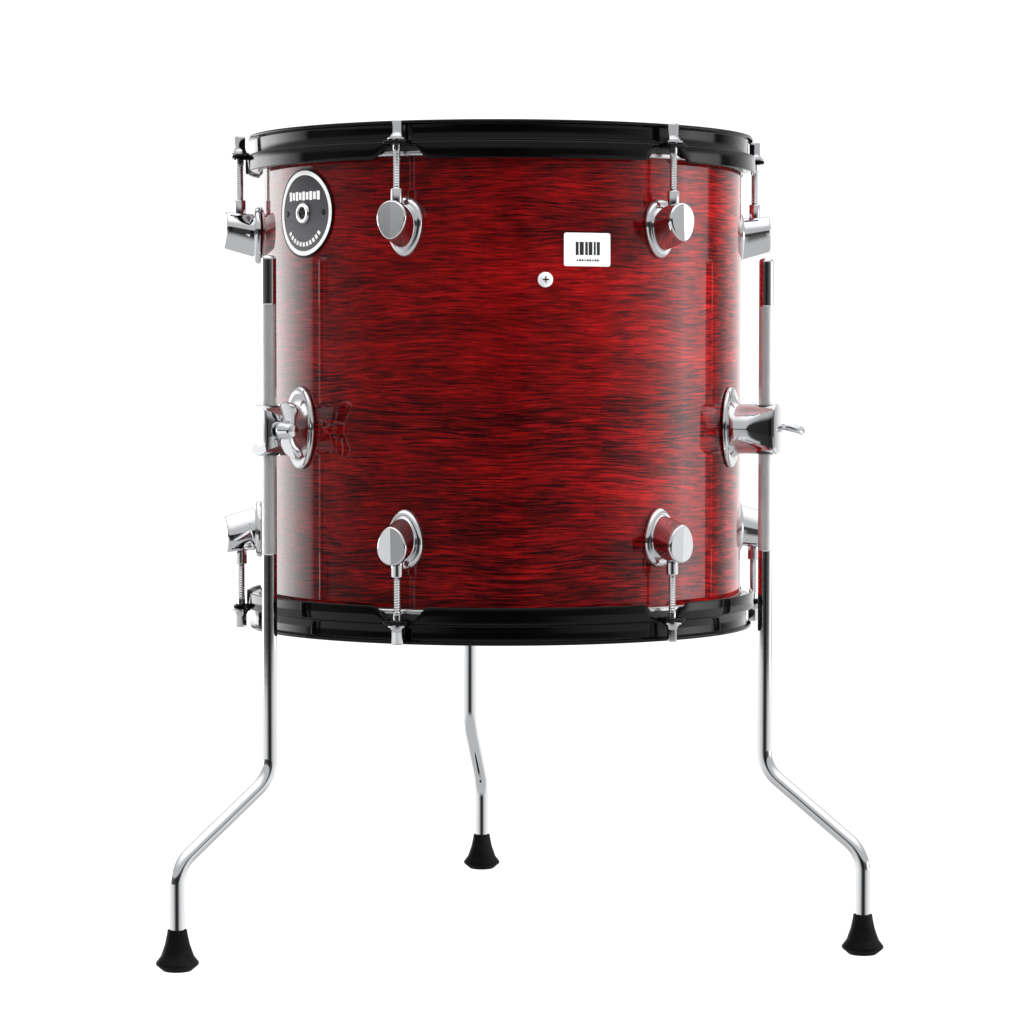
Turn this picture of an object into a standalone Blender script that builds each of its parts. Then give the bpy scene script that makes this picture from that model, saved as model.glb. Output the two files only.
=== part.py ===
"""Floor tom drum on three adjustable legs, built as separate named pieces.

Lengths are metres. +Z is up, the floor is z = 0 and the front of the drum faces -Y.
A direction round the drum is an angle in degrees: 0 is the front, +90 is the +X side.
Pieces fixed at one place round the shell are drawn in a local frame in which x is the
distance from the drum axis, y runs sideways (towards larger angles) and z is the
height above the floor. `add_part` then turns them to their angle.
"""

import math

import bmesh
import bpy
from mathutils import Matrix, Vector

MM = 0.001
GAP = 0.3 * MM

# Shell
SHELL_RADIUS = 177.8 * MM
SHELL_WALL = 6.5 * MM
SHELL_DEPTH = 330.2 * MM
SHELL_MID_HEIGHT = 407.0 * MM
EDGE_ROUND = 1.5 * MM
SHELL_SEGMENTS = 60
SHELL_BOTTOM = SHELL_MID_HEIGHT - SHELL_DEPTH / 2
SHELL_TOP = SHELL_MID_HEIGHT + SHELL_DEPTH / 2
SHELL_INNER_RADIUS = SHELL_RADIUS - SHELL_WALL
SEAT_RADIUS = SHELL_RADIUS + GAP
INNER_SEAT_RADIUS = SHELL_INNER_RADIUS - 0.5 * MM

# Heads and their flesh hoops
FILM_THICKNESS = 0.5 * MM
FILM_COLLAR = 9.0 * MM
FLESH_HOOP_WIDTH = 5.6 * MM
FLESH_HOOP_HEIGHT = 7.8 * MM

# Triple-flanged hoops, drawn for the batter side and mirrored for the other
LIP_ABOVE_EDGE = 14.5 * MM
LIP_TOP = SHELL_TOP + LIP_ABOVE_EDGE
HOOP_INNER_RADIUS = 180.5 * MM
HOOP_SHEET = 2.0 * MM
HOOP_LIP_RADIUS = 186.3 * MM
HOOP_LIP_DEPTH = 2.4 * MM
HOOP_STEP_DEPTH = 14.0 * MM
HOOP_HEIGHT = 26.3 * MM
HOOP_SKIRT_RADIUS = 188.0 * MM
EAR_RADIUS = 198.5 * MM
EAR_HOLE_RADIUS = 3.52 * MM
# Angle from the middle of an ear, how far the skirt hangs (1 = full), how far the ear
# stands out (1 = full)
EAR_STATIONS = (
    (-5.4, 1.0, 0.0),
    (-3.9, 0.45, 0.0),
    (-2.9, 0.0, 0.05),
    (-2.35, 0.0, 1.0),
    (2.35, 0.0, 1.0),
    (2.9, 0.0, 0.05),
    (3.9, 0.45, 0.0),
    (5.4, 1.0, 0.0),
)
PLAIN_STEPS = 6

# Lugs and tension rods
LUG_ANGLES = (-89.5, -29.5, 30.5, 90.5, 150.5, 210.5)
ROD_CIRCLE = 192.3 * MM
ROD_RADIUS = 2.75 * MM
ROD_TIP_HEIGHT = 505.3 * MM
KEY_HALF_WIDTH = 3.1 * MM
FLANGE_RADIUS = 5.0 * MM
WASHER_RADIUS = 6.75 * MM
WASHER_THICKNESS = 1.5 * MM
LUG_HEIGHT = 514.4 * MM
LUG_BASE_SIZE = (41.4 * MM, 27.5 * MM)
LUG_ROOT_SIZE = (31.0 * MM, 20.6 * MM)
LUG_FACE_HEIGHT = 518.0 * MM
LUG_FACE_SIZE = (27.0 * MM, 21.5 * MM)
LUG_FACE_RADIUS = 203.8 * MM
COLLAR_TOP = 540.0 * MM
COLLAR_RADIUS = 4.15 * MM
BORE_RADIUS = 3.32 * MM
BORE_BOTTOM = 503.8 * MM
SCREW_RADIUS = 2.5 * MM
SCREW_HEAD_RADIUS = 5.0 * MM
SCREW_HEAD_HEIGHT = 3.0 * MM
EGG_POINTS = 12

# Leg brackets, bushes and wing bolts
LEG_ANGLES = (-60.0, 60.0, 179.0)
LEG_CIRCLE = 205.5 * MM
BRACKET_HEIGHT = 374.0 * MM
BRACKET_BASE_HEIGHT = 375.2 * MM
BRACKET_BASE_SIZE = (58.4 * MM, 33.0 * MM)
BRACKET_BASE_THICKNESS = 3.4 * MM
ARM_RADIUS = 18.0 * MM
ARM_ROOT_HALF_WIDTH = 15.5 * MM
ARM_END_HALF_WIDTH = 9.7 * MM
ARM_END_RADIUS = 214.6 * MM
ARM_FLAT_RADIUS = 195.5 * MM
BRACKET_SCREW_OFFSET = 12.5 * MM
BRACKET_SCREW_DEPTH = 12.0 * MM
BUSH_RADIUS = 7.0 * MM
BUSH_BORE = 5.75 * MM
BUSH_FLANGE_RADIUS = 7.7 * MM
BUSH_FLANGE_THICKNESS = 1.0 * MM
BOLT_RADIUS = 4.0 * MM
BOLT_TIP = 7.4 * MM
HUB_NEAR = 16.5 * MM
HUB_FAR = 30.0 * MM
WING_REACH = 20.5 * MM
WING_HALF_THICKNESS = 1.9 * MM
WING_TILTS = (105.0, 9.0, 35.0)

# Legs and feet
LEG_RADIUS = 5.25 * MM
LEG_TOP = 496.2 * MM
LEG_TIP = 6.4 * MM
LEG_SWIVELS = (-4.5, 0.0, -14.0)
BEND_RADIUS = 27.0 * MM
BEND_ANGLE = 52.0
UPPER_BEND_START = 143.0 * MM
LOWER_BEND_END = 59.0 * MM
BEND_STEPS = 4
FOOT_BASE_RADIUS = 9.8 * MM
FOOT_RADIUS = 15.0 * MM
FOOT_HEIGHT = 28.5 * MM
FOOT_NECK_RADIUS = 6.8 * MM
FOOT_FLOOR = 6.0 * MM
FOOT_BORE = 5.75 * MM

# Badge, vent, round screw and label
BADGE_ANGLE = -58.5
BADGE_HEIGHT = 526.3 * MM
BADGE_RADIUS = 31.3 * MM
BADGE_THICKNESS = 1.2 * MM
VENT_FLANGE_RADIUS = 7.8 * MM
VENT_BARREL_RADIUS = 5.3 * MM
VENT_BORE_RADIUS = 4.2 * MM
BUTTON_ANGLE = 2.0
BUTTON_HEIGHT = 478.0 * MM
BUTTON_RADIUS = 5.3 * MM
LABEL_ANGLE = 11.7
LABEL_HEIGHT = 498.8 * MM
LABEL_HALF_WIDTH = 17.0 * MM
LABEL_HALF_HEIGHT = 11.4 * MM
LABEL_CORNER = 1.5 * MM
LABEL_THICKNESS = 0.4 * MM

# Where each leg swings its foot to, and so where the drum axis stands in the frame
LEG_OFFSET = 2 * BEND_RADIUS * (1 - math.cos(math.radians(BEND_ANGLE))) + (
    UPPER_BEND_START
    - LOWER_BEND_END
    - 2 * BEND_RADIUS * math.sin(math.radians(BEND_ANGLE))
) * math.tan(math.radians(BEND_ANGLE))


def around(radius, angle, height=0.0):
    """Point at a distance from the drum axis, in a direction round the drum."""
    turn = math.radians(angle)
    return Vector((radius * math.sin(turn), -radius * math.cos(turn), height))


def foot_centre(index):
    """Centre of one foot's sole, measured from the drum axis."""
    angle = LEG_ANGLES[index]
    return around(LEG_CIRCLE, angle) + around(LEG_OFFSET, angle + LEG_SWIVELS[index])


def drum_axis():
    """Place of the drum axis that puts the origin at the middle of the footprint."""
    left = foot_centre(0).x - FOOT_RADIUS
    right = foot_centre(1).x + FOOT_RADIUS
    back = foot_centre(2).y + FOOT_RADIUS
    front = -HOOP_SKIRT_RADIUS
    return Vector((-(left + right) / 2, -(front + back) / 2, 0.0))


DRUM_AXIS = drum_axis()


def finish(name, colour, roughness, metallic):
    """Material with one plain Principled surface."""
    material = bpy.data.materials.new(name)
    material.use_nodes = True
    surface = material.node_tree.nodes["Principled BSDF"]
    surface.inputs["Base Color"].default_value = (*colour, 1.0)
    surface.inputs["Roughness"].default_value = roughness
    surface.inputs["Metallic"].default_value = metallic
    material.diffuse_color = (*colour, 1.0)
    return material


def loft(rings, closed=False):
    """Body through equal rings of points, capped at its ends or joined into a loop."""
    count = len(rings[0])
    vertices = [tuple(point) for ring in rings for point in ring]
    faces = []
    last = len(rings) if closed else len(rings) - 1
    for ring in range(last):
        here = ring * count
        there = (ring + 1) % len(rings) * count
        for point in range(count):
            after = (point + 1) % count
            faces.append((here + point, here + after, there + after, there + point))
    if not closed:
        faces.append(tuple(reversed(range(count))))
        faces.append(tuple(range((len(rings) - 1) * count, len(rings) * count)))
    return vertices, faces


def turned(profile, segments, centre=(0.0, 0.0), closed=False):
    """Body turned about an upright axis; the profile lists (radius, height) pairs."""
    rings = []
    for radius, height in profile:
        ring = []
        for step in range(segments):
            turn = 2 * math.pi * step / segments
            ring.append(
                (
                    centre[0] + radius * math.cos(turn),
                    centre[1] + radius * math.sin(turn),
                    height,
                )
            )
        rings.append(ring)
    return loft(rings, closed)


def laid_over(shape, centre, direction):
    """Turned shape with its upright axis laid along +X or +Y through a centre."""
    if direction == "x":
        turn = Matrix.Rotation(math.radians(90), 4, "Y")
    else:
        turn = Matrix.Rotation(math.radians(-90), 4, "X")
    move = Matrix.Translation(centre) @ turn
    return [tuple(move @ Vector(point)) for point in shape[0]], shape[1]


def mirrored(shape):
    """Shape mirrored in the level plane halfway up the shell."""
    points = [(x, y, 2 * SHELL_MID_HEIGHT - z) for x, y, z in shape[0]]
    return points, shape[1]


def joined(shapes):
    """Several bodies as one list of points and faces, for use as a cutter."""
    vertices = []
    faces = []
    for points, sides in shapes:
        start = len(vertices)
        vertices.extend(points)
        faces.extend(tuple(start + corner for corner in side) for side in sides)
    return vertices, faces


def as_object(name, shape):
    """New object in the scene with every face of its closed mesh facing outward."""
    mesh = bpy.data.meshes.new(name)
    mesh.from_pydata(shape[0], [], shape[1])
    faces = bmesh.new()
    faces.from_mesh(mesh)
    bmesh.ops.recalc_face_normals(faces, faces=faces.faces)
    faces.to_mesh(mesh)
    faces.free()
    thing = bpy.data.objects.new(name, mesh)
    bpy.context.scene.collection.objects.link(thing)
    return thing


def combined(shape, steps):
    """Shape after exact Boolean steps, each a (kind, other shape) pair."""
    thing = as_object("blank", shape)
    tools = []
    for kind, other in steps:
        tool = as_object("tool", other)
        tools.append(tool)
        cut = thing.modifiers.new("cut", "BOOLEAN")
        cut.operation = kind
        cut.solver = "EXACT"
        cut.object = tool
    bpy.context.view_layer.update()
    result = thing.evaluated_get(bpy.context.evaluated_depsgraph_get()).to_mesh()
    vertices = [tuple(vertex.co) for vertex in result.vertices]
    faces = [tuple(face.vertices) for face in result.polygons]
    for spent in (thing, *tools):
        bpy.data.objects.remove(spent, do_unlink=True)
    return vertices, faces


def add_part(name, shape, material, angle=90.0, pivot=(0.0, 0.0, 0.0)):
    """Place a shape round the drum with its origin at a pivot given in its own frame."""
    pivot = Vector(pivot)
    turn = Matrix.Rotation(math.radians(angle - 90.0), 4, "Z")
    points = [tuple(Vector(point) - pivot) for point in shape[0]]
    thing = as_object(name, (points, shape[1]))
    thing.data.materials.append(material)
    thing.rotation_euler = (0.0, 0.0, math.radians(angle - 90.0))
    thing.location = DRUM_AXIS + turn @ pivot
    return thing


def pin(radius, start, end, height, side=0.0, segments=8):
    """Straight round pin along the local x axis."""
    shape = turned([(radius, start), (radius, end)], segments)
    return laid_over(shape, (0.0, side, height), "x")


def at_angle(shape, angle):
    """Shape from a local frame turned to its angle round the drum axis."""
    turn = Matrix.Rotation(math.radians(angle - 90.0), 4, "Z")
    return [tuple(turn @ Vector(point)) for point in shape[0]], shape[1]


def shell_shape():
    """Shell with 45 degree bearing edges and every hole bored through it."""
    profile = [
        (SHELL_INNER_RADIUS, SHELL_BOTTOM + SHELL_WALL - EDGE_ROUND),
        (SHELL_RADIUS - EDGE_ROUND, SHELL_BOTTOM),
        (SHELL_RADIUS, SHELL_BOTTOM + EDGE_ROUND),
        (SHELL_RADIUS, SHELL_TOP - EDGE_ROUND),
        (SHELL_RADIUS - EDGE_ROUND, SHELL_TOP),
        (SHELL_INNER_RADIUS, SHELL_TOP - SHELL_WALL + EDGE_ROUND),
    ]
    start = SHELL_INNER_RADIUS - 10 * MM
    end = SHELL_RADIUS + 10 * MM
    bores = []
    lug_hole = pin(SCREW_RADIUS + 1.2 * GAP, start, end, LUG_HEIGHT)
    for angle in LUG_ANGLES:
        bores.append(at_angle(lug_hole, angle))
        bores.append(at_angle(mirrored(lug_hole), angle))
    for angle in LEG_ANGLES:
        for offset in (-BRACKET_SCREW_OFFSET, BRACKET_SCREW_OFFSET):
            hole = pin(SCREW_RADIUS + 1.2 * GAP, start, end, BRACKET_HEIGHT + offset)
            bores.append(at_angle(hole, angle))
    vent = pin(VENT_BARREL_RADIUS + 1.5 * GAP, start, end, BADGE_HEIGHT, segments=16)
    bores.append(at_angle(vent, BADGE_ANGLE))
    button = pin(SCREW_RADIUS + 1.2 * GAP, start, end, BUTTON_HEIGHT)
    bores.append(at_angle(button, BUTTON_ANGLE))
    wall = turned(profile, SHELL_SEGMENTS, closed=True)
    return combined(wall, [("DIFFERENCE", joined(bores))])


def head_shape():
    """Batter head: a thin film drawn over the bearing edge with a short collar."""
    inner = SHELL_RADIUS + GAP
    outer = inner + FILM_THICKNESS
    low = SHELL_TOP + GAP
    high = low + FILM_THICKNESS
    collar = SHELL_TOP - FILM_COLLAR
    profile = [
        (SHELL_RADIUS - EDGE_ROUND + 0.4 * MM, high),
        (outer, SHELL_TOP - EDGE_ROUND + 0.4 * MM),
        (outer, collar),
        (inner, collar),
        (inner, SHELL_TOP - EDGE_ROUND + 0.2 * MM),
        (SHELL_RADIUS - EDGE_ROUND + 0.2 * MM, low),
    ]
    return turned(profile, SHELL_SEGMENTS)


def flesh_hoop_shape():
    """Metal ring round the head's collar, just under the step of the hoop."""
    inner = SHELL_RADIUS + FILM_THICKNESS + 2 * GAP
    outer = inner + FLESH_HOOP_WIDTH
    top = LIP_TOP - HOOP_STEP_DEPTH - HOOP_SHEET - GAP
    bottom = top - FLESH_HOOP_HEIGHT
    profile = [(inner, bottom), (outer, bottom), (outer, top), (inner, top)]
    return turned(profile, SHELL_SEGMENTS, closed=True)


def hoop_section(hang, reach):
    """Hoop section as (radius, height) pairs for one amount of skirt and of ear."""
    wall = HOOP_INNER_RADIUS + HOOP_SHEET
    step = LIP_TOP - HOOP_STEP_DEPTH
    under = step - HOOP_SHEET
    skirt_drop = (HOOP_HEIGHT - HOOP_STEP_DEPTH - HOOP_SHEET) * hang
    edge = HOOP_SKIRT_RADIUS + (EAR_RADIUS - HOOP_SKIRT_RADIUS) * reach
    return [
        (HOOP_INNER_RADIUS, under),
        (HOOP_INNER_RADIUS, LIP_TOP),
        (HOOP_LIP_RADIUS, LIP_TOP),
        (HOOP_LIP_RADIUS, LIP_TOP - HOOP_LIP_DEPTH),
        (wall, LIP_TOP - HOOP_LIP_DEPTH),
        (wall, step),
        (edge, step),
        (edge, under - skirt_drop),
        (edge - HOOP_SHEET, under - skirt_drop),
        (edge - HOOP_SHEET - 0.1 * MM, under),
    ]


def hoop_shape():
    """Triple-flanged hoop swept round the drum, with six drilled ears."""
    stations = []
    span = LUG_ANGLES[1] - LUG_ANGLES[0]
    plain = span - EAR_STATIONS[-1][0] + EAR_STATIONS[0][0]
    for lug_angle in LUG_ANGLES:
        for offset, hang, reach in EAR_STATIONS:
            stations.append((lug_angle + offset, hang, reach))
        for step in range(1, PLAIN_STEPS):
            offset = EAR_STATIONS[-1][0] + plain * step / PLAIN_STEPS
            stations.append((lug_angle + offset, 1.0, 0.0))
    rings = []
    for angle, hang, reach in stations:
        section = hoop_section(hang, reach)
        rings.append([around(radius, angle, z) for radius, z in section])
    holes = []
    drill = [
        (EAR_HOLE_RADIUS, LIP_TOP - HOOP_HEIGHT),
        (EAR_HOLE_RADIUS, LIP_TOP),
    ]
    for angle in LUG_ANGLES:
        holes.append(at_angle(turned(drill, 8, (ROD_CIRCLE, 0.0)), angle))
    return combined(loft(rings, closed=True), [("DIFFERENCE", joined(holes))])


def egg(size, radius, height):
    """Egg outline facing outward, its blunt end up."""
    tall, wide = size
    ring = []
    for step in range(EGG_POINTS):
        turn = 2 * math.pi * step / EGG_POINTS
        side = wide / 2 * math.sin(turn) * (1 + 0.16 * math.cos(turn))
        ring.append((radius, side, height + tall / 2 * math.cos(turn)))
    return ring


def shrunk(size, amount):
    """Outline size with the same amount taken off its height and its width."""
    return (size[0] - amount, size[1] - amount)


def lug_shape():
    """Batter-side lug: egg body, collar bored for the rod, and its fixing screw."""
    face = LUG_FACE_SIZE
    body = loft(
        [
            egg(LUG_BASE_SIZE, SEAT_RADIUS, LUG_HEIGHT),
            egg(LUG_BASE_SIZE, SEAT_RADIUS + 2.2 * MM, LUG_HEIGHT),
            egg(shrunk(LUG_BASE_SIZE, 3.2 * MM), SEAT_RADIUS + 4.0 * MM, LUG_HEIGHT),
            egg(LUG_ROOT_SIZE, SEAT_RADIUS + 4.8 * MM, LUG_HEIGHT),
            egg(face, LUG_FACE_RADIUS - 1.4 * MM, LUG_FACE_HEIGHT),
            egg(shrunk(face, 2.4 * MM), LUG_FACE_RADIUS, LUG_FACE_HEIGHT),
        ]
    )
    centre = (ROD_CIRCLE, 0.0)
    collar = turned([(COLLAR_RADIUS, 522 * MM), (COLLAR_RADIUS, COLLAR_TOP)], 8, centre)
    bore = turned([(BORE_RADIUS, BORE_BOTTOM), (BORE_RADIUS, 545 * MM)], 8, centre)
    return combined(
        body,
        [
            ("UNION", collar),
            ("UNION", fixing_screw(LUG_HEIGHT, SEAT_RADIUS + 1.5 * MM)),
            ("DIFFERENCE", bore),
        ],
    )


def fixing_screw(height, tip):
    """Screw put through the shell from the inside, along the local x axis."""
    seat = INNER_SEAT_RADIUS
    profile = [
        (SCREW_HEAD_RADIUS - 0.8 * MM, seat - SCREW_HEAD_HEIGHT),
        (SCREW_HEAD_RADIUS, seat - SCREW_HEAD_HEIGHT + 1.0 * MM),
        (SCREW_HEAD_RADIUS, seat),
        (SCREW_RADIUS, seat),
        (SCREW_RADIUS, tip),
    ]
    return laid_over(turned(profile, 8), (0.0, 0.0, height), "x")


def rod_ring(corner, middle, height):
    """Eight-point ring; a square when its corners stand out further than its sides."""
    ring = []
    for step in range(8):
        turn = math.radians(45 * step)
        radius = corner if step % 2 else middle
        ring.append(
            (
                ROD_CIRCLE + radius * math.cos(turn),
                radius * math.sin(turn),
                height,
            )
        )
    return ring


def rod_shape():
    """Batter-side tension rod: threaded shaft, washer, flange and square key head."""
    seat = LIP_TOP - HOOP_STEP_DEPTH + GAP
    flange = seat + WASHER_THICKNESS
    corner = KEY_HALF_WIDTH * math.sqrt(2)
    steps = [
        (ROD_RADIUS - 0.8 * MM, ROD_RADIUS - 0.8 * MM, ROD_TIP_HEIGHT),
        (ROD_RADIUS, ROD_RADIUS, ROD_TIP_HEIGHT + 1.0 * MM),
        (ROD_RADIUS, ROD_RADIUS, seat),
        (WASHER_RADIUS, WASHER_RADIUS, seat),
        (WASHER_RADIUS, WASHER_RADIUS, flange),
        (FLANGE_RADIUS, FLANGE_RADIUS, flange + 0.1 * MM),
        (FLANGE_RADIUS, FLANGE_RADIUS, flange + 1.2 * MM),
        (corner, KEY_HALF_WIDTH, flange + 3.6 * MM),
        (corner, KEY_HALF_WIDTH, LIP_TOP - 0.6 * MM),
        (corner - 0.9 * MM, KEY_HALF_WIDTH - 0.5 * MM, LIP_TOP),
    ]
    return loft([rod_ring(*step) for step in steps])


def oval(size, radius, points=20):
    """Upright oval outline of a leg bracket's base, facing outward."""
    tall, wide = size
    ring = []
    for step in range(points):
        turn = 2 * math.pi * step / points
        height = BRACKET_BASE_HEIGHT + tall / 2 * math.cos(turn)
        ring.append((radius, wide / 2 * math.sin(turn), height))
    return ring


def arm_ring(half_width, radius, trim=0.0, points=20):
    """Oval arm section with a flat on each side where it is cut narrower."""
    reach = ARM_RADIUS - trim
    ring = []
    for step in range(points):
        turn = 2 * math.pi * step / points
        side = max(-half_width, min(half_width, ARM_ROOT_HALF_WIDTH * math.sin(turn)))
        ring.append((radius, side, BRACKET_HEIGHT + reach * math.cos(turn)))
    return ring


def bracket_shape():
    """Leg bracket: oval base, flat-sided arm, and holes for bush, bolt and screws."""
    face = SEAT_RADIUS + BRACKET_BASE_THICKNESS
    body = loft(
        [
            oval(BRACKET_BASE_SIZE, SEAT_RADIUS),
            oval(BRACKET_BASE_SIZE, face - 1.0 * MM),
            oval(shrunk(BRACKET_BASE_SIZE, 2.0 * MM), face),
            arm_ring(ARM_ROOT_HALF_WIDTH, face + 1.5 * MM),
            arm_ring(ARM_ROOT_HALF_WIDTH, ARM_FLAT_RADIUS),
            arm_ring(ARM_END_HALF_WIDTH + 0.2 * MM, ARM_END_RADIUS - 1.0 * MM),
            arm_ring(ARM_END_HALF_WIDTH - 0.8 * MM, ARM_END_RADIUS, 1.0 * MM),
        ]
    )
    low = BRACKET_HEIGHT - ARM_RADIUS - 5 * MM
    high = BRACKET_HEIGHT + ARM_RADIUS + 5 * MM
    bush_radius = BUSH_RADIUS + 1.8 * GAP
    bush_hole = turned(
        [(bush_radius, low), (bush_radius, high)], 12, (LEG_CIRCLE, 0.0)
    )
    bolt_radius = BOLT_RADIUS + 2.2 * GAP
    bolt_hole = laid_over(
        turned([(bolt_radius, 3 * MM), (bolt_radius, 25 * MM)], 8),
        (LEG_CIRCLE, 0.0, BRACKET_HEIGHT),
        "y",
    )
    start = SEAT_RADIUS - 5 * MM
    end = SEAT_RADIUS + BRACKET_SCREW_DEPTH + 1 * MM
    radius = SCREW_RADIUS + 1.2 * GAP
    screw_holes = [
        pin(radius, start, end, BRACKET_HEIGHT + offset)
        for offset in (-BRACKET_SCREW_OFFSET, BRACKET_SCREW_OFFSET)
    ]
    return combined(
        body,
        [
            ("DIFFERENCE", bush_hole),
            ("DIFFERENCE", bolt_hole),
            ("DIFFERENCE", joined(screw_holes)),
        ],
    )


def bush_shape():
    """Flanged plastic sleeve in the bracket that the leg slides and turns in."""
    low = BRACKET_HEIGHT - ARM_RADIUS + 0.4 * MM
    seat = BRACKET_HEIGHT + ARM_RADIUS + GAP
    top = seat + BUSH_FLANGE_THICKNESS
    profile = [
        (BUSH_BORE, low),
        (BUSH_RADIUS, low),
        (BUSH_RADIUS, seat),
        (BUSH_FLANGE_RADIUS, seat),
        (BUSH_FLANGE_RADIUS, top),
        (BUSH_BORE, top),
    ]
    return turned(profile, 12, (LEG_CIRCLE, 0.0), closed=True)


def wing_bolt_shape(tilt):
    """Wing bolt across the arm, its wings tilted about its own axis."""
    profile = [
        (BOLT_RADIUS - 0.9 * MM, BOLT_TIP),
        (BOLT_RADIUS, BOLT_TIP + 1.0 * MM),
        (BOLT_RADIUS, HUB_NEAR),
        (6.2 * MM, HUB_NEAR),
        (6.6 * MM, HUB_NEAR + 3.0 * MM),
        (5.4 * MM, HUB_FAR - 1.0 * MM),
        (4.4 * MM, HUB_FAR),
    ]
    hub = laid_over(turned(profile, 10), (0.0, 0.0, 0.0), "y")
    half = [
        (4.0, 18.0),
        (9.0, 18.6),
        (16.0, 22.0),
        (20.0, 27.0),
        (20.5, 32.0),
        (18.0, 35.2),
        (13.0, 34.6),
        (8.5, 30.0),
        (3.5, 28.6),
    ]
    scale = WING_REACH / 20.5
    outline = [(reach * scale, along * MM) for reach, along in half]
    outline += [(-reach, along) for reach, along in reversed(outline)]
    rings = []
    for side in (-WING_HALF_THICKNESS, WING_HALF_THICKNESS):
        rings.append([(reach, along, side) for reach, along in outline])
    points, faces = combined(hub, [("UNION", loft(rings))])
    turn = Matrix.Translation((LEG_CIRCLE, 0.0, BRACKET_HEIGHT)) @ Matrix.Rotation(
        math.radians(tilt), 4, "Y"
    )
    return [tuple(turn @ Vector(point)) for point in points], faces


def leg_path():
    """Centre line of a leg as (sideways reach, height, lean in degrees) stations."""
    stations = [(0.0, LEG_TOP - 1.5 * MM, 0.0)]
    for step in range(BEND_STEPS + 1):
        lean = BEND_ANGLE * step / BEND_STEPS
        turn = math.radians(lean)
        reach = BEND_RADIUS * (1 - math.cos(turn))
        stations.append((reach, UPPER_BEND_START - BEND_RADIUS * math.sin(turn), lean))
    for step in range(BEND_STEPS, -1, -1):
        lean = BEND_ANGLE * step / BEND_STEPS
        turn = math.radians(lean)
        reach = LEG_OFFSET - BEND_RADIUS * (1 - math.cos(turn))
        stations.append((reach, LOWER_BEND_END + BEND_RADIUS * math.sin(turn), lean))
    stations.append((LEG_OFFSET, LEG_TIP, 0.0))
    return stations


def leg_shape(swivel, segments=10):
    """Round steel leg with two bends, its foot swung by the swivel angle."""
    rings = []
    direction = math.radians(swivel)
    ends = [(0.0, LEG_TOP, 0.0, LEG_RADIUS - 1.2 * MM)]
    ends += [(*station, LEG_RADIUS) for station in leg_path()]
    for reach, height, lean, radius in ends:
        tilt = math.radians(lean)
        ring = []
        for step in range(segments):
            turn = 2 * math.pi * step / segments
            out = reach + radius * math.cos(turn) * math.cos(tilt)
            side = radius * math.sin(turn)
            up = height + radius * math.cos(turn) * math.sin(tilt)
            ring.append(
                (
                    LEG_CIRCLE + out * math.cos(direction) - side * math.sin(direction),
                    out * math.sin(direction) + side * math.cos(direction),
                    up,
                )
            )
        rings.append(ring)
    return loft(rings)


def foot_shape(swivel):
    """Flared rubber foot with a blind bore that the leg's tip stands in."""
    direction = math.radians(swivel)
    centre = (
        LEG_CIRCLE + LEG_OFFSET * math.cos(direction),
        LEG_OFFSET * math.sin(direction),
    )
    profile = [
        (FOOT_BASE_RADIUS, 0.0),
        (FOOT_RADIUS, 5.0 * MM),
        (11.6 * MM, 10.0 * MM),
        (8.6 * MM, 18.5 * MM),
        (FOOT_NECK_RADIUS, FOOT_HEIGHT - 2.0 * MM),
        (FOOT_NECK_RADIUS - 0.3 * MM, FOOT_HEIGHT),
        (FOOT_BORE, FOOT_HEIGHT),
        (FOOT_BORE, FOOT_FLOOR),
    ]
    return turned(profile, 14, centre)


def badge_shape(segments=20):
    """Round badge bent to the shell, with a hole for the vent."""
    hole = VENT_BARREL_RADIUS + 1.5 * GAP
    reaches = [hole, 14 * MM, 23 * MM, BADGE_RADIUS]
    layers = [(reach, SEAT_RADIUS) for reach in reaches]
    layers += [(reach, SEAT_RADIUS + BADGE_THICKNESS) for reach in reversed(reaches)]
    rings = []
    for reach, radius in layers:
        ring = []
        for step in range(segments):
            turn = 2 * math.pi * step / segments
            side = reach * math.sin(turn)
            height = BADGE_HEIGHT + reach * math.cos(turn)
            ring.append((math.sqrt(radius**2 - side**2), side, height))
        rings.append(ring)
    return loft(rings, closed=True)


def vent_shape():
    """Vent grommet: a flanged eyelet through badge and shell, flared inside."""
    seat = SEAT_RADIUS + BADGE_THICKNESS + GAP
    inner = INNER_SEAT_RADIUS - 0.1 * MM
    profile = [
        (VENT_BORE_RADIUS, inner - 1.4 * MM),
        (VENT_FLANGE_RADIUS - 0.6 * MM, inner - 1.4 * MM),
        (VENT_FLANGE_RADIUS - 0.6 * MM, inner),
        (VENT_BARREL_RADIUS, inner),
        (VENT_BARREL_RADIUS, seat),
        (VENT_FLANGE_RADIUS, seat),
        (VENT_FLANGE_RADIUS - 1.2 * MM, seat + 1.4 * MM),
        (VENT_BORE_RADIUS, seat + 1.4 * MM),
    ]
    shape = turned(profile, 16, closed=True)
    return laid_over(shape, (0.0, 0.0, BADGE_HEIGHT), "x")


def button_shape():
    """Small round-headed screw through the front of the shell, with its nut."""
    seat = SEAT_RADIUS
    inner = INNER_SEAT_RADIUS
    profile = [
        (SCREW_RADIUS, inner - 4.2 * MM),
        (SCREW_RADIUS, inner - 2.6 * MM),
        (SCREW_HEAD_RADIUS - 0.6 * MM, inner - 2.4 * MM),
        (SCREW_HEAD_RADIUS - 0.6 * MM, inner),
        (SCREW_RADIUS, inner),
        (SCREW_RADIUS, seat),
        (BUTTON_RADIUS, seat),
        (BUTTON_RADIUS, seat + 0.8 * MM),
        (BUTTON_RADIUS - 1.8 * MM, seat + 2.2 * MM),
    ]
    return laid_over(turned(profile, 12), (0.0, 0.0, BUTTON_HEIGHT), "x")


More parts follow.
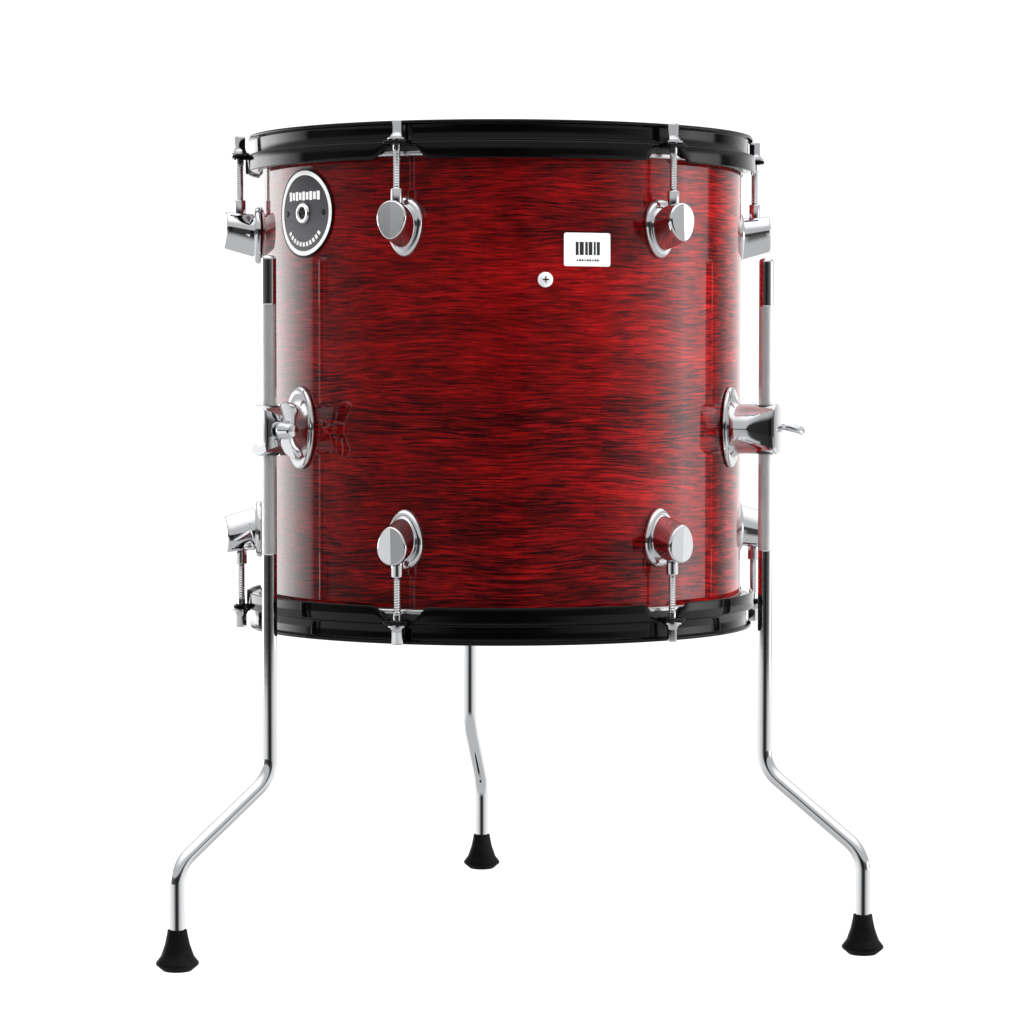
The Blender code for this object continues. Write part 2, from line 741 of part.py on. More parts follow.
def label_shape():
    """Thin label bent to the shell, with its corners cut."""
    side = LABEL_HALF_WIDTH
    tall = LABEL_HALF_HEIGHT
    shoulder = side - LABEL_CORNER
    columns = [
        (-side, tall - LABEL_CORNER),
        (-shoulder, tall),
        (-shoulder / 2, tall),
        (0.0, tall),
        (shoulder / 2, tall),
        (shoulder, tall),
        (side, tall - LABEL_CORNER),
    ]
    rings = []
    for across, half_height in columns:
        ring = []
        for radius, sign in (
            (SEAT_RADIUS, -1),
            (SEAT_RADIUS, 1),
            (SEAT_RADIUS + LABEL_THICKNESS, 1),
            (SEAT_RADIUS + LABEL_THICKNESS, -1),
        ):
            depth = math.sqrt(radius**2 - across**2)
            ring.append((depth, across, LABEL_HEIGHT + sign * half_height))
        rings.append(ring)
    return loft(rings)


def build_shell_pieces():
    """Shell with its badge, vent, round screw and label."""
    lacquer = finish("red_wood_lacquer", (0.23, 0.006, 0.008), 0.22, 0.0)
    dark_badge = finish("badge_dark_grey", (0.06, 0.06, 0.065), 0.35, 0.2)
    chrome = finish("small_chrome", (0.82, 0.82, 0.84), 0.08, 1.0)
    paper = finish("label_white", (0.85, 0.85, 0.84), 0.5, 0.0)
    add_part("shell", shell_shape(), lacquer)
    add_part("badge", badge_shape(), dark_badge, BADGE_ANGLE)
    add_part("vent_grommet", vent_shape(), chrome, BADGE_ANGLE)
    add_part("front_screw", button_shape(), chrome, BUTTON_ANGLE)
    add_part("label", label_shape(), paper, LABEL_ANGLE)


def build_heads():
    """Both heads with their flesh hoops, hoops and tension rods."""
    coated = finish("batter_film_coated", (0.78, 0.78, 0.76), 0.6, 0.0)
    clear = finish("resonant_film_hazy", (0.62, 0.63, 0.64), 0.25, 0.0)
    silver = finish("flesh_hoop_aluminium", (0.72, 0.72, 0.73), 0.3, 1.0)
    black = finish("hoop_black_gloss", (0.012, 0.012, 0.013), 0.12, 0.0)
    chrome = finish("rod_chrome", (0.8, 0.8, 0.82), 0.12, 1.0)
    film = head_shape()
    ring = flesh_hoop_shape()
    hoop = hoop_shape()
    rod = rod_shape()
    centre = (0.0, 0.0, SHELL_TOP)
    low_centre = (0.0, 0.0, SHELL_BOTTOM)
    add_part("batter_head", film, coated, pivot=centre)
    add_part("resonant_head", mirrored(film), clear, pivot=low_centre)
    add_part("batter_flesh_hoop", ring, silver, pivot=centre)
    add_part("resonant_flesh_hoop", mirrored(ring), silver, pivot=low_centre)
    add_part("batter_hoop", hoop, black, pivot=centre)
    add_part("resonant_hoop", mirrored(hoop), black, pivot=low_centre)
    rod_seat = (ROD_CIRCLE, 0.0, LIP_TOP - HOOP_STEP_DEPTH)
    low_seat = (ROD_CIRCLE, 0.0, 2 * SHELL_MID_HEIGHT - rod_seat[2])
    for number, angle in enumerate(LUG_ANGLES, 1):
        add_part(f"batter_rod_{number}", rod, chrome, angle, rod_seat)
        name = f"resonant_rod_{number}"
        add_part(name, mirrored(rod), chrome, angle, low_seat)


def build_lugs():
    """Twelve lugs, six near each hoop."""
    chrome = finish("lug_chrome", (0.86, 0.86, 0.88), 0.05, 1.0)
    lug = lug_shape()
    low_lug = mirrored(lug)
    for number, angle in enumerate(LUG_ANGLES, 1):
        add_part(f"batter_lug_{number}", lug, chrome, angle)
        add_part(f"resonant_lug_{number}", low_lug, chrome, angle)


def build_legs():
    """Three brackets with their screws, bushes, wing bolts, legs and feet."""
    chrome = finish("leg_chrome", (0.84, 0.84, 0.86), 0.08, 1.0)
    nylon = finish("bush_black_nylon", (0.02, 0.02, 0.02), 0.55, 0.0)
    steel = finish("screw_zinc", (0.5, 0.5, 0.5), 0.35, 1.0)
    rubber = finish("foot_black_rubber", (0.012, 0.012, 0.012), 0.75, 0.0)
    bracket = bracket_shape()
    bush = bush_shape()
    axis = (LEG_CIRCLE, 0.0, BRACKET_HEIGHT)
    for number, angle in enumerate(LEG_ANGLES, 1):
        swivel = LEG_SWIVELS[number - 1]
        add_part(f"leg_bracket_{number}", bracket, chrome, angle)
        add_part(f"leg_bush_{number}", bush, nylon, angle, axis)
        bolt = wing_bolt_shape(WING_TILTS[number - 1])
        add_part(f"wing_bolt_{number}", bolt, chrome, angle, axis)
        add_part(f"leg_{number}", leg_shape(swivel), chrome, angle, axis)
        add_part(f"foot_{number}", foot_shape(swivel), rubber, angle, axis)
        for letter, offset in (("a", BRACKET_SCREW_OFFSET), ("b", -BRACKET_SCREW_OFFSET)):
            tip = SEAT_RADIUS + BRACKET_SCREW_DEPTH
            screw = fixing_screw(BRACKET_HEIGHT + offset, tip)
            add_part(f"bracket_screw_{number}{letter}", screw, steel, angle)


def main():
    """Clear the scene and build every piece."""
    for thing in list(bpy.data.objects):
        bpy.data.objects.remove(thing, do_unlink=True)
    build_shell_pieces()
    build_heads()
    build_lugs()
    build_legs()


main()
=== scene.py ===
"""Visual model of a floor tom drum on three bent legs, built round the packed CAD frame.

Lengths are metres, +Z is up and the front of the drum faces -Y. A direction round the
drum is an angle in degrees: 0 is the front, +90 is the +X side. Pieces that sit at one
place round the shell are drawn in a local frame in which x is the distance from the
drum axis, y runs sideways and z is the height above the floor.
"""

from __future__ import annotations

import logging
import math
from dataclasses import dataclass, field
from enum import Enum
from typing import Any, Callable, Iterable, Sequence

import bmesh
import bpy
from mathutils import Matrix, Vector


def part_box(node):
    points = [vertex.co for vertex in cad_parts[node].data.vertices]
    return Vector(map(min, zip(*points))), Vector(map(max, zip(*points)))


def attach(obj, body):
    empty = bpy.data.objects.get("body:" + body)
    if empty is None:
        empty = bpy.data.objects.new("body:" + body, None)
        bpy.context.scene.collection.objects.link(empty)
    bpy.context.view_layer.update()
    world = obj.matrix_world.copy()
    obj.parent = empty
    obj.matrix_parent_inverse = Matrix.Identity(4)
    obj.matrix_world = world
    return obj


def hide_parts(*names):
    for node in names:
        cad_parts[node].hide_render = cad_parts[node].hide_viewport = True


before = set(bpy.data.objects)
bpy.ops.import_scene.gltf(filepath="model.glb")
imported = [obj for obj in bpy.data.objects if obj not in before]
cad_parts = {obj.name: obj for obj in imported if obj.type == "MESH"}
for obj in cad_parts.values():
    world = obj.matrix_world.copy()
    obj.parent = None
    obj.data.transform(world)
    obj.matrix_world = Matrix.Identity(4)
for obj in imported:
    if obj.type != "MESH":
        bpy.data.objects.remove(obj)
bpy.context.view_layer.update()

LOG = logging.getLogger("floor_tom")
MM = 0.001

# Limits of a rounded outline: how much of a side one corner may take up, the half angle
# at which a corner counts as straight, and how far in an extra point may lie.
EDGE_SHARE = 0.48
STRAIGHT = math.radians(89)
GUARD_SHARE = 0.3

# Directions and sizes that more than one kind of piece shares.
LUG_ANGLES = (-89.5, -29.5, 30.5, 90.5, 150.5, 210.5)
LEG_ANGLES = (-60.0, 60.0, 179.0)
LEG_SWIVELS = (-4.5, 0.0, -14.0)
BADGE_ANGLE = -58.5
VENT_HOLE = 5.75 * MM
ROD_CIRCLE = 192.3 * MM
LEG_CIRCLE = 205.5 * MM
STEP_DEPTH = 14.0 * MM
SCREW_SHANK = 2.5 * MM
SEAT_CLEARANCE = 0.3 * MM
INNER_SEAT = 7.0 * MM

Point = tuple[float, float, float]
Pair = tuple[float, float]
Ring = list[Point]
Colour = tuple[float, float, float]


# ---------------------------------------------------------------- shader building


def operator(operation: str, meaning: str) -> Callable[["Signal", Any], "Signal"]:
    """Method of Signal for a Math node of two operands."""

    def method(self: "Signal", other: Any) -> "Signal":
        return self._math(operation, self, other)

    method.__doc__ = meaning
    return method


class Signal:
    """Number that varies over a surface; arithmetic on it adds Math nodes."""

    def __init__(self, bench: "Bench", socket: bpy.types.NodeSocket) -> None:
        """Wrap one output socket of a node on a bench."""
        self.bench = bench
        self.socket = socket

    def _math(self, operation: str, *operands: Any) -> "Signal":
        """Result of one Math node, its numbers or signals in the order of the node's sockets."""
        node = self.bench.add("ShaderNodeMath", {"operation": operation}, dict(enumerate(operands)))
        return Signal(self.bench, node.outputs[0])

    __add__ = __radd__ = operator("ADD", "Sum.")
    __sub__ = operator("SUBTRACT", "Difference.")
    __mul__ = __rmul__ = operator("MULTIPLY", "Product.")
    __truediv__ = operator("DIVIDE", "Quotient.")
    __pow__ = operator("POWER", "Power.")
    angle_with = operator("ARCTAN2", "Angle in radians of the vector (other, this).")

    def __rsub__(self, other: Any) -> "Signal":
        """Difference from a number."""
        return self._math("SUBTRACT", other, self)

    def sine(self) -> "Signal":
        """Sine of this angle in radians."""
        return self._math("SINE", self)

    def step(self, low: float, high: float) -> "Signal":
        """Smooth rise from 0 at low to 1 at high; low may be the larger number."""
        flipped = low > high
        ends = (high, low) if flipped else (low, high)
        settings = {"interpolation_type": "SMOOTHSTEP", "clamp": True}
        inputs = {"Value": self, "From Min": ends[0], "From Max": ends[1]}
        node = self.bench.add("ShaderNodeMapRange", settings, inputs)
        rise = Signal(self.bench, node.outputs[0])
        return 1.0 - rise if flipped else rise


class Bench:
    """Node tree being put together, for a material or for the world."""

    def __init__(self, tree: bpy.types.NodeTree) -> None:
        """Take over an existing node tree."""
        self.tree = tree

    def add(
        self,
        kind: str,
        settings: dict[str, Any] | None = None,
        inputs: dict[int | str, Any] | None = None,
    ) -> bpy.types.Node:
        """Add a node, set it up and feed its sockets.

        Args:
            kind: Blender's node type.
            settings: Node properties, or "stops" for a colour ramp, set before inputs.
            inputs: Socket index or name to a value, a signal or a socket to link.

        Returns:
            The new node.
        """
        node = self.tree.nodes.new(kind)
        for name, value in (settings or {}).items():
            if name == "stops":
                self._fill_ramp(node.color_ramp, value)
            else:
                setattr(node, name, value)
        for key, value in (inputs or {}).items():
            self.feed(node.inputs[key], value)
        return node

    @staticmethod
    def _fill_ramp(ramp: bpy.types.ColorRamp, stops: Sequence[tuple[float, Colour]]) -> None:
        """Give a ramp its stops, each a position and a colour."""
        while len(ramp.elements) < len(stops):
            ramp.elements.new(0.5)
        for element, (position, colour) in zip(ramp.elements, stops):
            element.position = position
            element.color = (*colour, 1.0)

    def feed(self, socket: bpy.types.NodeSocket, value: Any) -> None:
        """Link a signal or a socket to an input, or set the input's own value."""
        if isinstance(value, Signal):
            value = value.socket
        if isinstance(value, bpy.types.NodeSocket):
            self.tree.links.new(value, socket)
        else:
            socket.default_value = value

    def place(self, kind: str = "Object") -> bpy.types.NodeSocket:
        """Coordinates of the shaded point."""
        return self.add("ShaderNodeTexCoord").outputs[kind]

    def split(self, vector: bpy.types.NodeSocket) -> tuple[Signal, Signal, Signal]:
        """The x, y and z of a vector."""
        node = self.add("ShaderNodeSeparateXYZ", None, {0: vector})
        return tuple(Signal(self, output) for output in node.outputs)

    def joined(self, x: Any, y: Any, z: Any) -> bpy.types.NodeSocket:
        """Vector from three numbers or signals."""
        return self.add("ShaderNodeCombineXYZ", None, {0: x, 1: y, 2: z}).outputs[0]

    def noise(
        self,
        vector: bpy.types.NodeSocket,
        scale: float,
        detail: float = 3.0,
        roughness: float = 0.5,
        distortion: float = 0.0,
    ) -> Signal:
        """Fractal noise from 0 to 1.

        Args:
            vector: Where to sample it.
            scale: Features per metre.
            detail: Octaves.
            roughness: Strength of the finer octaves.
            distortion: How far it is warped.

        Returns:
            The noise value.
        """
        node = self.add(
            "ShaderNodeTexNoise",
            {"noise_dimensions": "3D"},
            {
                "Vector": vector,
                "Scale": scale,
                "Detail": detail,
                "Roughness": roughness,
                "Distortion": distortion,
            },
        )
        return Signal(self, node.outputs[0])

    def grain(self, place: Sequence[Signal], level: float, upright: float, *character: float) -> Signal:
        """Noise drawn out along the level plane or upright.

        Args:
            place: The x, y and z to sample.
            level: Features per metre in the level plane.
            upright: Features per metre upright.
            character: Detail, roughness and distortion, as for noise.

        Returns:
            The noise value.
        """
        x, y, z = place
        return self.noise(self.joined(x * level, y * level, z * upright), 1.0, *character)

    def from_axis(self, centre: Pair) -> Signal:
        """Distance of the shaded point from an upright axis."""
        x, y, _ = self.split(self.place())
        return ((x - centre[0]) ** 2.0 + (y - centre[1]) ** 2.0) ** 0.5

    def ramp(self, value: Signal, stops: Sequence[tuple[float, Colour]]) -> bpy.types.NodeSocket:
        """Colour looked up from a value."""
        return self.add("ShaderNodeValToRGB", {"stops": stops}, {0: value}).outputs[0]

    def mixed(self, share: Any, first: Any, second: Any) -> bpy.types.NodeSocket:
        """Colour mixed from two colours by a share of the second."""
        inputs = {0: share}
        for index, value in ((6, first), (7, second)):
            inputs[index] = value if isinstance(value, bpy.types.NodeSocket) else (*value, 1.0)
        return self.add("ShaderNodeMix", {"data_type": "RGBA", "clamp_factor": True}, inputs).outputs[2]

    def bump(self, height: Signal, strength: float, depth: float) -> bpy.types.NodeSocket:
        """Normal tilted by a height signal; depth is the height of 1, in metres."""
        node = self.add("ShaderNodeBump", None, {"Strength": strength, "Distance": depth, "Height": height})
        return node.outputs[0]


class Surface(Bench):
    """Node tree of one material with a Principled surface."""

    def __init__(self, name: str) -> None:
        """Start an empty material."""
        self.material = bpy.data.materials.new(name)
        self.material.use_nodes = True
        super().__init__(self.material.node_tree)
        self.shader = self.tree.nodes["Principled BSDF"]

    def dress(self, **sockets: Any) -> bpy.types.Material:
        """Feed the Principled surface; underscores stand for spaces in socket names.

        Args:
            sockets: Values, colours, signals or sockets by input name.

        Returns:
            The finished material.
        """
        for name, value in sockets.items():
            if isinstance(value, tuple) and len(value) == 3:
                value = (*value, 1.0)
            self.feed(self.shader.inputs[name.replace("_", " ")], value)
        return self.material


# ---------------------------------------------------------------- finishes


@dataclass(frozen=True)
class LacqueredVeneer:
    """Red-stained wood veneer whose grain runs round the shell, under clear lacquer."""

    deep: Colour = (0.017, 0.0003, 0.0006)
    mid: Colour = (0.160, 0.0014, 0.0019)
    bright: Colour = (0.34, 0.0044, 0.0050)

    def make(self, name: str) -> bpy.types.Material:
        """Build the material: slow figure, streaks, pores, lacquer ripple."""
        s = Surface(name)
        x, y, z = s.split(s.place())
        sway = s.grain((x, y, z), 4.0, 8.0, 3.0, 0.55) - 0.5
        lift = (x, y, z + sway * 0.030)
        figure = s.grain(lift, 6.0, 38.0, 4.0, 0.60, 0.5)
        band = s.grain(lift, 2.5, 11.0, 2.0, 0.5)
        streak = s.grain(lift, 40.0, 560.0, 4.0, 0.62, 0.25)
        line = s.grain(lift, 34.0, 800.0, 2.0, 0.5)
        fibre = s.grain(lift, 55.0, 950.0, 3.0, 0.62)
        blotch = s.grain((x, y, z), 40.0, 70.0, 3.0, 0.6)
        pore = s.grain(lift, 62.0, 1150.0, 2.0, 0.5)
        tone = figure * 0.20 + streak * 0.38 + fibre * 0.24 + blotch * 0.12 + band * 0.14 - 0.04
        stain = s.ramp(
            tone,
            (
                (0.41, self.deep),
                (0.48, tuple(0.5 * (a + b) for a, b in zip(self.deep, self.mid))),
                (0.54, self.mid), (0.66, self.bright),
            ),
        )
        open_pore = pore.step(0.54, 0.63)
        dark_line = line.step(0.51, 0.58) * band.step(0.74, 0.42)
        colour = s.mixed(open_pore * 0.6 + dark_line * 0.8, stain, self.deep)
        ripple = s.noise(s.place(), 55.0, 2.0, 0.5)
        return s.dress(
            Base_Color=colour,
            Roughness=0.34 + fibre * 0.10,
            Specular_IOR_Level=0.05,
            Coat_Weight=1.0,
            Coat_Roughness=0.03,
            Coat_IOR=1.48,
            Normal=s.bump(ripple * 0.8 + fibre * 0.04, 0.06, 0.0012),
        )


@dataclass(frozen=True)
class RawPly:
    """Bare birch plies inside the shell, with the glue lines on its cut edges."""

    light: Colour = (0.60, 0.43, 0.26)
    dark: Colour = (0.40, 0.26, 0.14)
    ply: float = 1.6 * MM

    def make(self, name: str, centre: Pair) -> bpy.types.Material:
        """Build the material.

        Args:
            name: Material name.
            centre: The drum axis, for the plies' radius.

        Returns:
            The finished material.
        """
        s = Surface(name)
        here = s.split(s.place())
        ply = ((s.from_axis(centre) * (math.tau / self.ply)).sine() * 0.5 + 0.5) * 0.35
        grain = s.grain(here, 12.0, 200.0, 5.0, 0.6)
        fleck = s.grain(here, 90.0, 900.0, 2.0)
        share = grain * 0.75 + ply + fleck.step(0.62, 0.72) * 0.25 - 0.2
        return s.dress(
            Base_Color=s.mixed(share, self.light, self.dark),
            Roughness=0.62 + grain * 0.1,
            Normal=s.bump(grain + fleck * 0.4, 0.25, 0.0006),
        )


@dataclass(frozen=True)
class Plating:
    """Bright metal plating with faint polish haze and specks."""

    tint: Colour = (0.88, 0.89, 0.91)
    gloss: float = 0.035
    haze: float = 0.05
    waviness: float = 0.02

    def make(self, name: str) -> bpy.types.Material:
        """Build the material: polish haze, tiny scratches, a slight waviness."""
        s = Surface(name)
        here = s.place()
        cloud = s.noise(here, 60.0, 3.0, 0.6)
        rub = s.grain(s.split(here), 900.0, 60.0, 2.0, 0.6)
        speck = s.noise(here, 1400.0, 1.0)
        rough = self.gloss + cloud.step(0.45, 0.75) * self.haze * 0.6 + rub.step(0.6, 0.8) * self.haze
        shade = s.mixed(speck.step(0.68, 0.8) * 0.35 + cloud * 0.06, self.tint, (0.55, 0.56, 0.58))
        return s.dress(
            Base_Color=shade,
            Metallic=1.0,
            Roughness=rough,
            Normal=s.bump(s.noise(here, 90.0, 2.0), self.waviness, 0.0005),
        )


@dataclass(frozen=True)
class BlackEnamel:
    """Hard black gloss paint with orange peel and dust."""

    tint: Colour = (0.0012, 0.0012, 0.0013)
    gloss: float = 0.07

    def make(self, name: str) -> bpy.types.Material:
        """Build the material."""
        s = Surface(name)
        here = s.place()
        peel = s.noise(here, 420.0, 2.0, 0.5)
        dust = s.noise(here, 2200.0, 1.0)
        cloud = s.noise(here, 24.0, 3.0, 0.6)
        return s.dress(
            Base_Color=s.mixed(dust.step(0.72, 0.8) * 0.4, self.tint, (0.06, 0.06, 0.06)),
            Roughness=self.gloss + cloud.step(0.45, 0.8) * 0.05 + dust.step(0.7, 0.8) * 0.2,
            Specular_IOR_Level=0.26,
            Normal=s.bump(peel, 0.035, 0.0003),
        )


@dataclass(frozen=True)
class CoatedFilm:
    """White coated head: fine sprayed grit, a clear edge band and light playing marks."""

    white: Colour = (0.66, 0.66, 0.645)
    edge_radius: float = 170.0 * MM
    played: Pair = (75.0 * MM, 20.0 * MM)

    def make(self, name: str, centre: Pair) -> bpy.types.Material:
        """Build the material.

        Args:
            name: Material name.
            centre: The drum axis.

        Returns:
            The finished material.
        """
        s = Surface(name)
        here = s.place()
        across = s.from_axis(centre)
        grit = s.noise(here, 1500.0, 3.0, 0.7)
        cloud = s.noise(here, 18.0, 4.0, 0.6)
        worn = across.step(*self.played) * s.noise(here, 140.0, 3.0, 0.7).step(0.52, 0.72)
        band = across.step(self.edge_radius, self.edge_radius + 1.2 * MM)
        base = s.mixed(worn * 0.35 + cloud * 0.08, self.white, (0.52, 0.52, 0.50))
        return s.dress(
            Base_Color=s.mixed(band * 0.75, base, (0.62, 0.63, 0.63)),
            Roughness=0.72 - band * 0.5 - worn * 0.12,
            Normal=s.bump(grit * (1.0 - band), 0.45, 0.0003),
        )


@dataclass(frozen=True)
class HazyFilm:
    """Thin see-through head film with a milky haze."""

    tint: Colour = (0.72, 0.74, 0.75)

    def make(self, name: str) -> bpy.types.Material:
        """Build the material."""
        s = Surface(name)
        here = s.place()
        cloud = s.noise(here, 26.0, 4.0, 0.6)
        scuff = s.noise(here, 700.0, 2.0).step(0.6, 0.75)
        return s.dress(
            Base_Color=s.mixed(cloud * 0.4, self.tint, (0.60, 0.62, 0.63)),
            Roughness=0.16 + scuff * 0.2,
            Alpha=0.62 + cloud * 0.12 + scuff * 0.1,
            Normal=s.bump(cloud, 0.1, 0.001),
        )


@dataclass(frozen=True)
class Moulding:
    """Moulded plastic, rubber, paper or paint with a fine grain."""

    tint: Colour
    worn: Colour
    rough: float
    grain: float = 900.0
    relief: float = 0.3
    metal: float = 0.0
    shine: float = 0.5

    def make(self, name: str) -> bpy.types.Material:
        """Build the material."""
        s = Surface(name)
        here = s.place()
        grain = s.noise(here, self.grain, 3.0, 0.6)
        cloud = s.noise(here, 45.0, 4.0, 0.65)
        return s.dress(
            Base_Color=s.mixed(cloud.step(0.42, 0.78) * 0.6 + grain * 0.15, self.tint, self.worn),
            Metallic=self.metal,
            Specular_IOR_Level=self.shine,
            Roughness=self.rough + cloud * 0.1 - 0.05 + grain * 0.06,
            Normal=s.bump(grain, self.relief, 0.0002),
        )


@dataclass(frozen=True)
class BadgeEnamel:
    """Dark grey badge face that grows lighter towards its foot."""

    top: Colour = (0.020, 0.020, 0.023)
    foot: Colour = (0.115, 0.115, 0.125)

    def make(self, name: str, middle: float, half: float) -> bpy.types.Material:
        """Build the material.

        Args:
            name: Material name.
            middle: Height of the badge's centre.
            half: Half its height.

        Returns:
            The finished material.
        """
        s = Surface(name)
        x, y, z = s.split(s.place())
        # Painted light: share of the lighter foot tone, 0 at the top of the badge and 1 at its foot.
        painted_light_fall = ((z - middle) * (-0.5 / half)) + 0.5
        brush = s.grain((x, y, z), 2500.0, 80.0, 2.0)
        return s.dress(
            Base_Color=s.mixed(painted_light_fall + brush * 0.08 - 0.04, self.top, self.foot),
            Specular_IOR_Level=0.25,
            Roughness=0.42 + brush * 0.12,
            Normal=s.bump(brush, 0.05, 0.0001),
        )


class Finish(Enum):
    """Finishes of the drum's pieces, each with the record's slot it belongs to."""

    LACQUER = "red_wood_lacquer"
    PLY = "red_wood_lacquer.ply"
    HOOP = "hoop_black_gloss"
    LUG = "lug_chrome"
    ROD = "rod_chrome"
    LEG = "leg_chrome"
    BRACKET = "leg_chrome.bracket"
    KNURL = "leg_chrome.knurl"
    BUTTON = "small_chrome.button"
    SMALL = "small_chrome"
    FLESH = "flesh_hoop_aluminium"
    COATED = "batter_film_coated"
    HAZY = "resonant_film_hazy"
    BADGE = "badge_dark_grey"
    BADGE_RIM = "badge_dark_grey.rim"
    BADGE_WHITE = "badge_dark_grey.white"
    LABEL = "label_white"
    INK = "label_white.ink"
    # Black nylon of the leg bushes; the flesh rings use it as painted shade on their band above the crimp.
    NYLON = "bush_black_nylon"
    ZINC = "screw_zinc"
    RUBBER = "foot_black_rubber"
    # Dark metal of the badge rivets; on the front screw it is painted shade inside the cross recess.
    DARK = "small_chrome.dark"

    @property
    def slot(self) -> str:
        """Name of the record's material slot."""
        return self.value.split(".")[0]


# ---------------------------------------------------------------- shapes


def rounded(
    corners: Sequence[tuple[float, float, float]], steps: int = 4, closed: bool = False, guard: float = 0.0
) -> list[Pair]:
    """Outline with its corners rounded.

    Args:
        corners: (a, b, radius) for each corner; the ends of an open outline stay sharp.
        steps: Chords in each rounded corner.
        closed: Whether the last corner joins the first.
        guard: How far from its ends a straight length gets an extra point, so that it shades flat.

    Returns:
        The points of the outline.
    """
    arcs: list[list[Vector]] = []
    count = len(corners)
    for index, (a, b, radius) in enumerate(corners):
        here = Vector((a, b))
        arcs.append([here])
        if radius <= 0.0 or (not closed and index in (0, count - 1)):
            continue
        to_last = Vector(corners[index - 1][:2]) - here
        to_next = Vector(corners[(index + 1) % count][:2]) - here
        reach = min(to_last.length, to_next.length) * EDGE_SHARE
        to_last.normalize()
        to_next.normalize()
        half = to_last.angle(to_next) / 2
        if half > STRAIGHT:
            continue
        back = min(radius / math.tan(half), reach)
        radius = back * math.tan(half)
        centre = here + (to_last + to_next).normalized() * (radius / math.sin(half))
        first = here + to_last * back - centre
        last = here + to_next * back - centre
        sweep = first.angle(last)
        arcs[-1] = [
            centre + (math.sin((1 - t) * sweep) * first + math.sin(t * sweep) * last) / math.sin(sweep)
            for t in (step / steps for step in range(steps + 1))
        ]
    outline: list[Pair] = []
    for index, arc in enumerate(arcs):
        outline += [tuple(point) for point in arc]
        if guard > 0.0 and (closed or index < count - 1):
            there = arcs[(index + 1) % count][0]
            straight = there - arc[-1]
            inset = straight * (min(guard, GUARD_SHARE * straight.length) / straight.length)
            outline += [tuple(arc[-1] + inset), tuple(there - inset)]
    return outline


def rectangle(wide: float, tall: float) -> tuple[Pair, Pair, Pair, Pair]:
    """Corners of a rectangle from half its width and half its height."""
    return ((-wide, -tall), (wide, -tall), (wide, tall), (-wide, tall))


def linked(name: str, data: bpy.types.ID) -> bpy.types.Object:
    """New object in the scene."""
    thing = bpy.data.objects.new(name, data)
    bpy.context.scene.collection.objects.link(thing)
    return thing


def mid_height(node: str) -> float:
    """Height of the middle of a CAD node."""
    low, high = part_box(node)
    return (low.z + high.z) / 2


@dataclass
class Shape:
    """Closed bodies as points and faces, with a material slot for every face."""

    points: list[Point] = field(default_factory=list)
    faces: list[tuple[int, ...]] = field(default_factory=list)
    slots: list[int] = field(default_factory=list)

    @classmethod
    def loft(cls, rings: Sequence[Ring], closed: bool = False, slot: int = 0) -> "Shape":
        """Body through equal rings of points.

        Args:
            rings: The rings, all with the same number of points.
            closed: Join the last ring to the first; otherwise both ends are capped.
            slot: Material slot of every face.

        Returns:
            The body.
        """
        count = len(rings[0])
        shape = cls(points=[tuple(point) for ring in rings for point in ring])
        last = len(rings) if closed else len(rings) - 1
        for ring in range(last):
            here = ring * count
            there = (ring + 1) % len(rings) * count
            for point in range(count):
                after = (point + 1) % count
                shape.faces.append((here + point, here + after, there + after, there + point))
        if not closed:
            shape.faces.append(tuple(reversed(range(count))))
            shape.faces.append(tuple(range((len(rings) - 1) * count, len(rings) * count)))
        shape.slots = [slot] * len(shape.faces)
        return shape

    @classmethod
    def turned(cls, profile: Sequence[Pair], segments: int, closed: bool = False, slot: int = 0) -> "Shape":
        """Body turned about the upright axis from (radius, height) pairs.

        Args:
            profile: The outline; an open one is capped flat at both ends.
            segments: Steps round the axis.
            closed: Whether the outline is a loop.
            slot: Material slot of every face.

        Returns:
            The body.
        """
        turns = [math.tau * step / segments for step in range(segments)]
        rings = [[(r * math.cos(t), r * math.sin(t), h) for t in turns] for r, h in profile]
        return cls.loft(rings, closed, slot)

    def moved(self, change: Matrix | Callable[[Point], Point]) -> "Shape":
        """The shape with each point moved by a matrix or a function."""
        if isinstance(change, Matrix):
            points = [tuple(change @ Vector(point)) for point in self.points]
        else:
            points = [change(point) for point in self.points]
        return Shape(points, list(self.faces), list(self.slots))

    def shifted(self, x: float, z: float = 0.0) -> "Shape":
        """The shape moved out and up."""
        return self.moved(Matrix.Translation((x, 0.0, z)))

    def along_x(self, height: float) -> "Shape":
        """A turned shape laid along the local x axis at a height."""
        return self.moved(Matrix.Translation((0.0, 0.0, height)) @ Matrix.Rotation(math.radians(90), 4, "Y"))

    def along_y(self) -> "Shape":
        """A turned shape laid along the local y axis."""
        return self.moved(Matrix.Rotation(math.radians(-90), 4, "X"))

    def __add__(self, other: "Shape") -> "Shape":
        """Both shapes in one mesh, as separate bodies."""
        start = len(self.points)
        moved = [tuple(start + corner for corner in face) for face in other.faces]
        return Shape(self.points + other.points, self.faces + moved, self.slots + other.slots)

    def mesh(self, name: str, sharp: float = 32.0) -> bpy.types.Mesh:
        """Blender mesh with outward faces, smooth except at edges sharper than an angle."""
        data = bpy.data.meshes.new(name)
        data.from_pydata(self.points, [], self.faces)
        data.polygons.foreach_set("material_index", self.slots)
        work = bmesh.new()
        work.from_mesh(data)
        bmesh.ops.recalc_face_normals(work, faces=work.faces)
        work.to_mesh(data)
        work.free()
        smooth(data, sharp)
        return data


def smooth(data: bpy.types.Mesh, sharp: float = 32.0) -> None:
    """Shade a mesh smooth, keeping edges sharper than an angle in degrees."""
    data.polygons.foreach_set("use_smooth", [True] * len(data.polygons))
    data.set_sharp_from_angle(angle=math.radians(sharp))


def rotated(angle: float) -> Matrix:
    """Turn from the local frame of a piece to its angle round the drum."""
    return Matrix.Rotation(math.radians(angle - 90.0), 4, "Z")


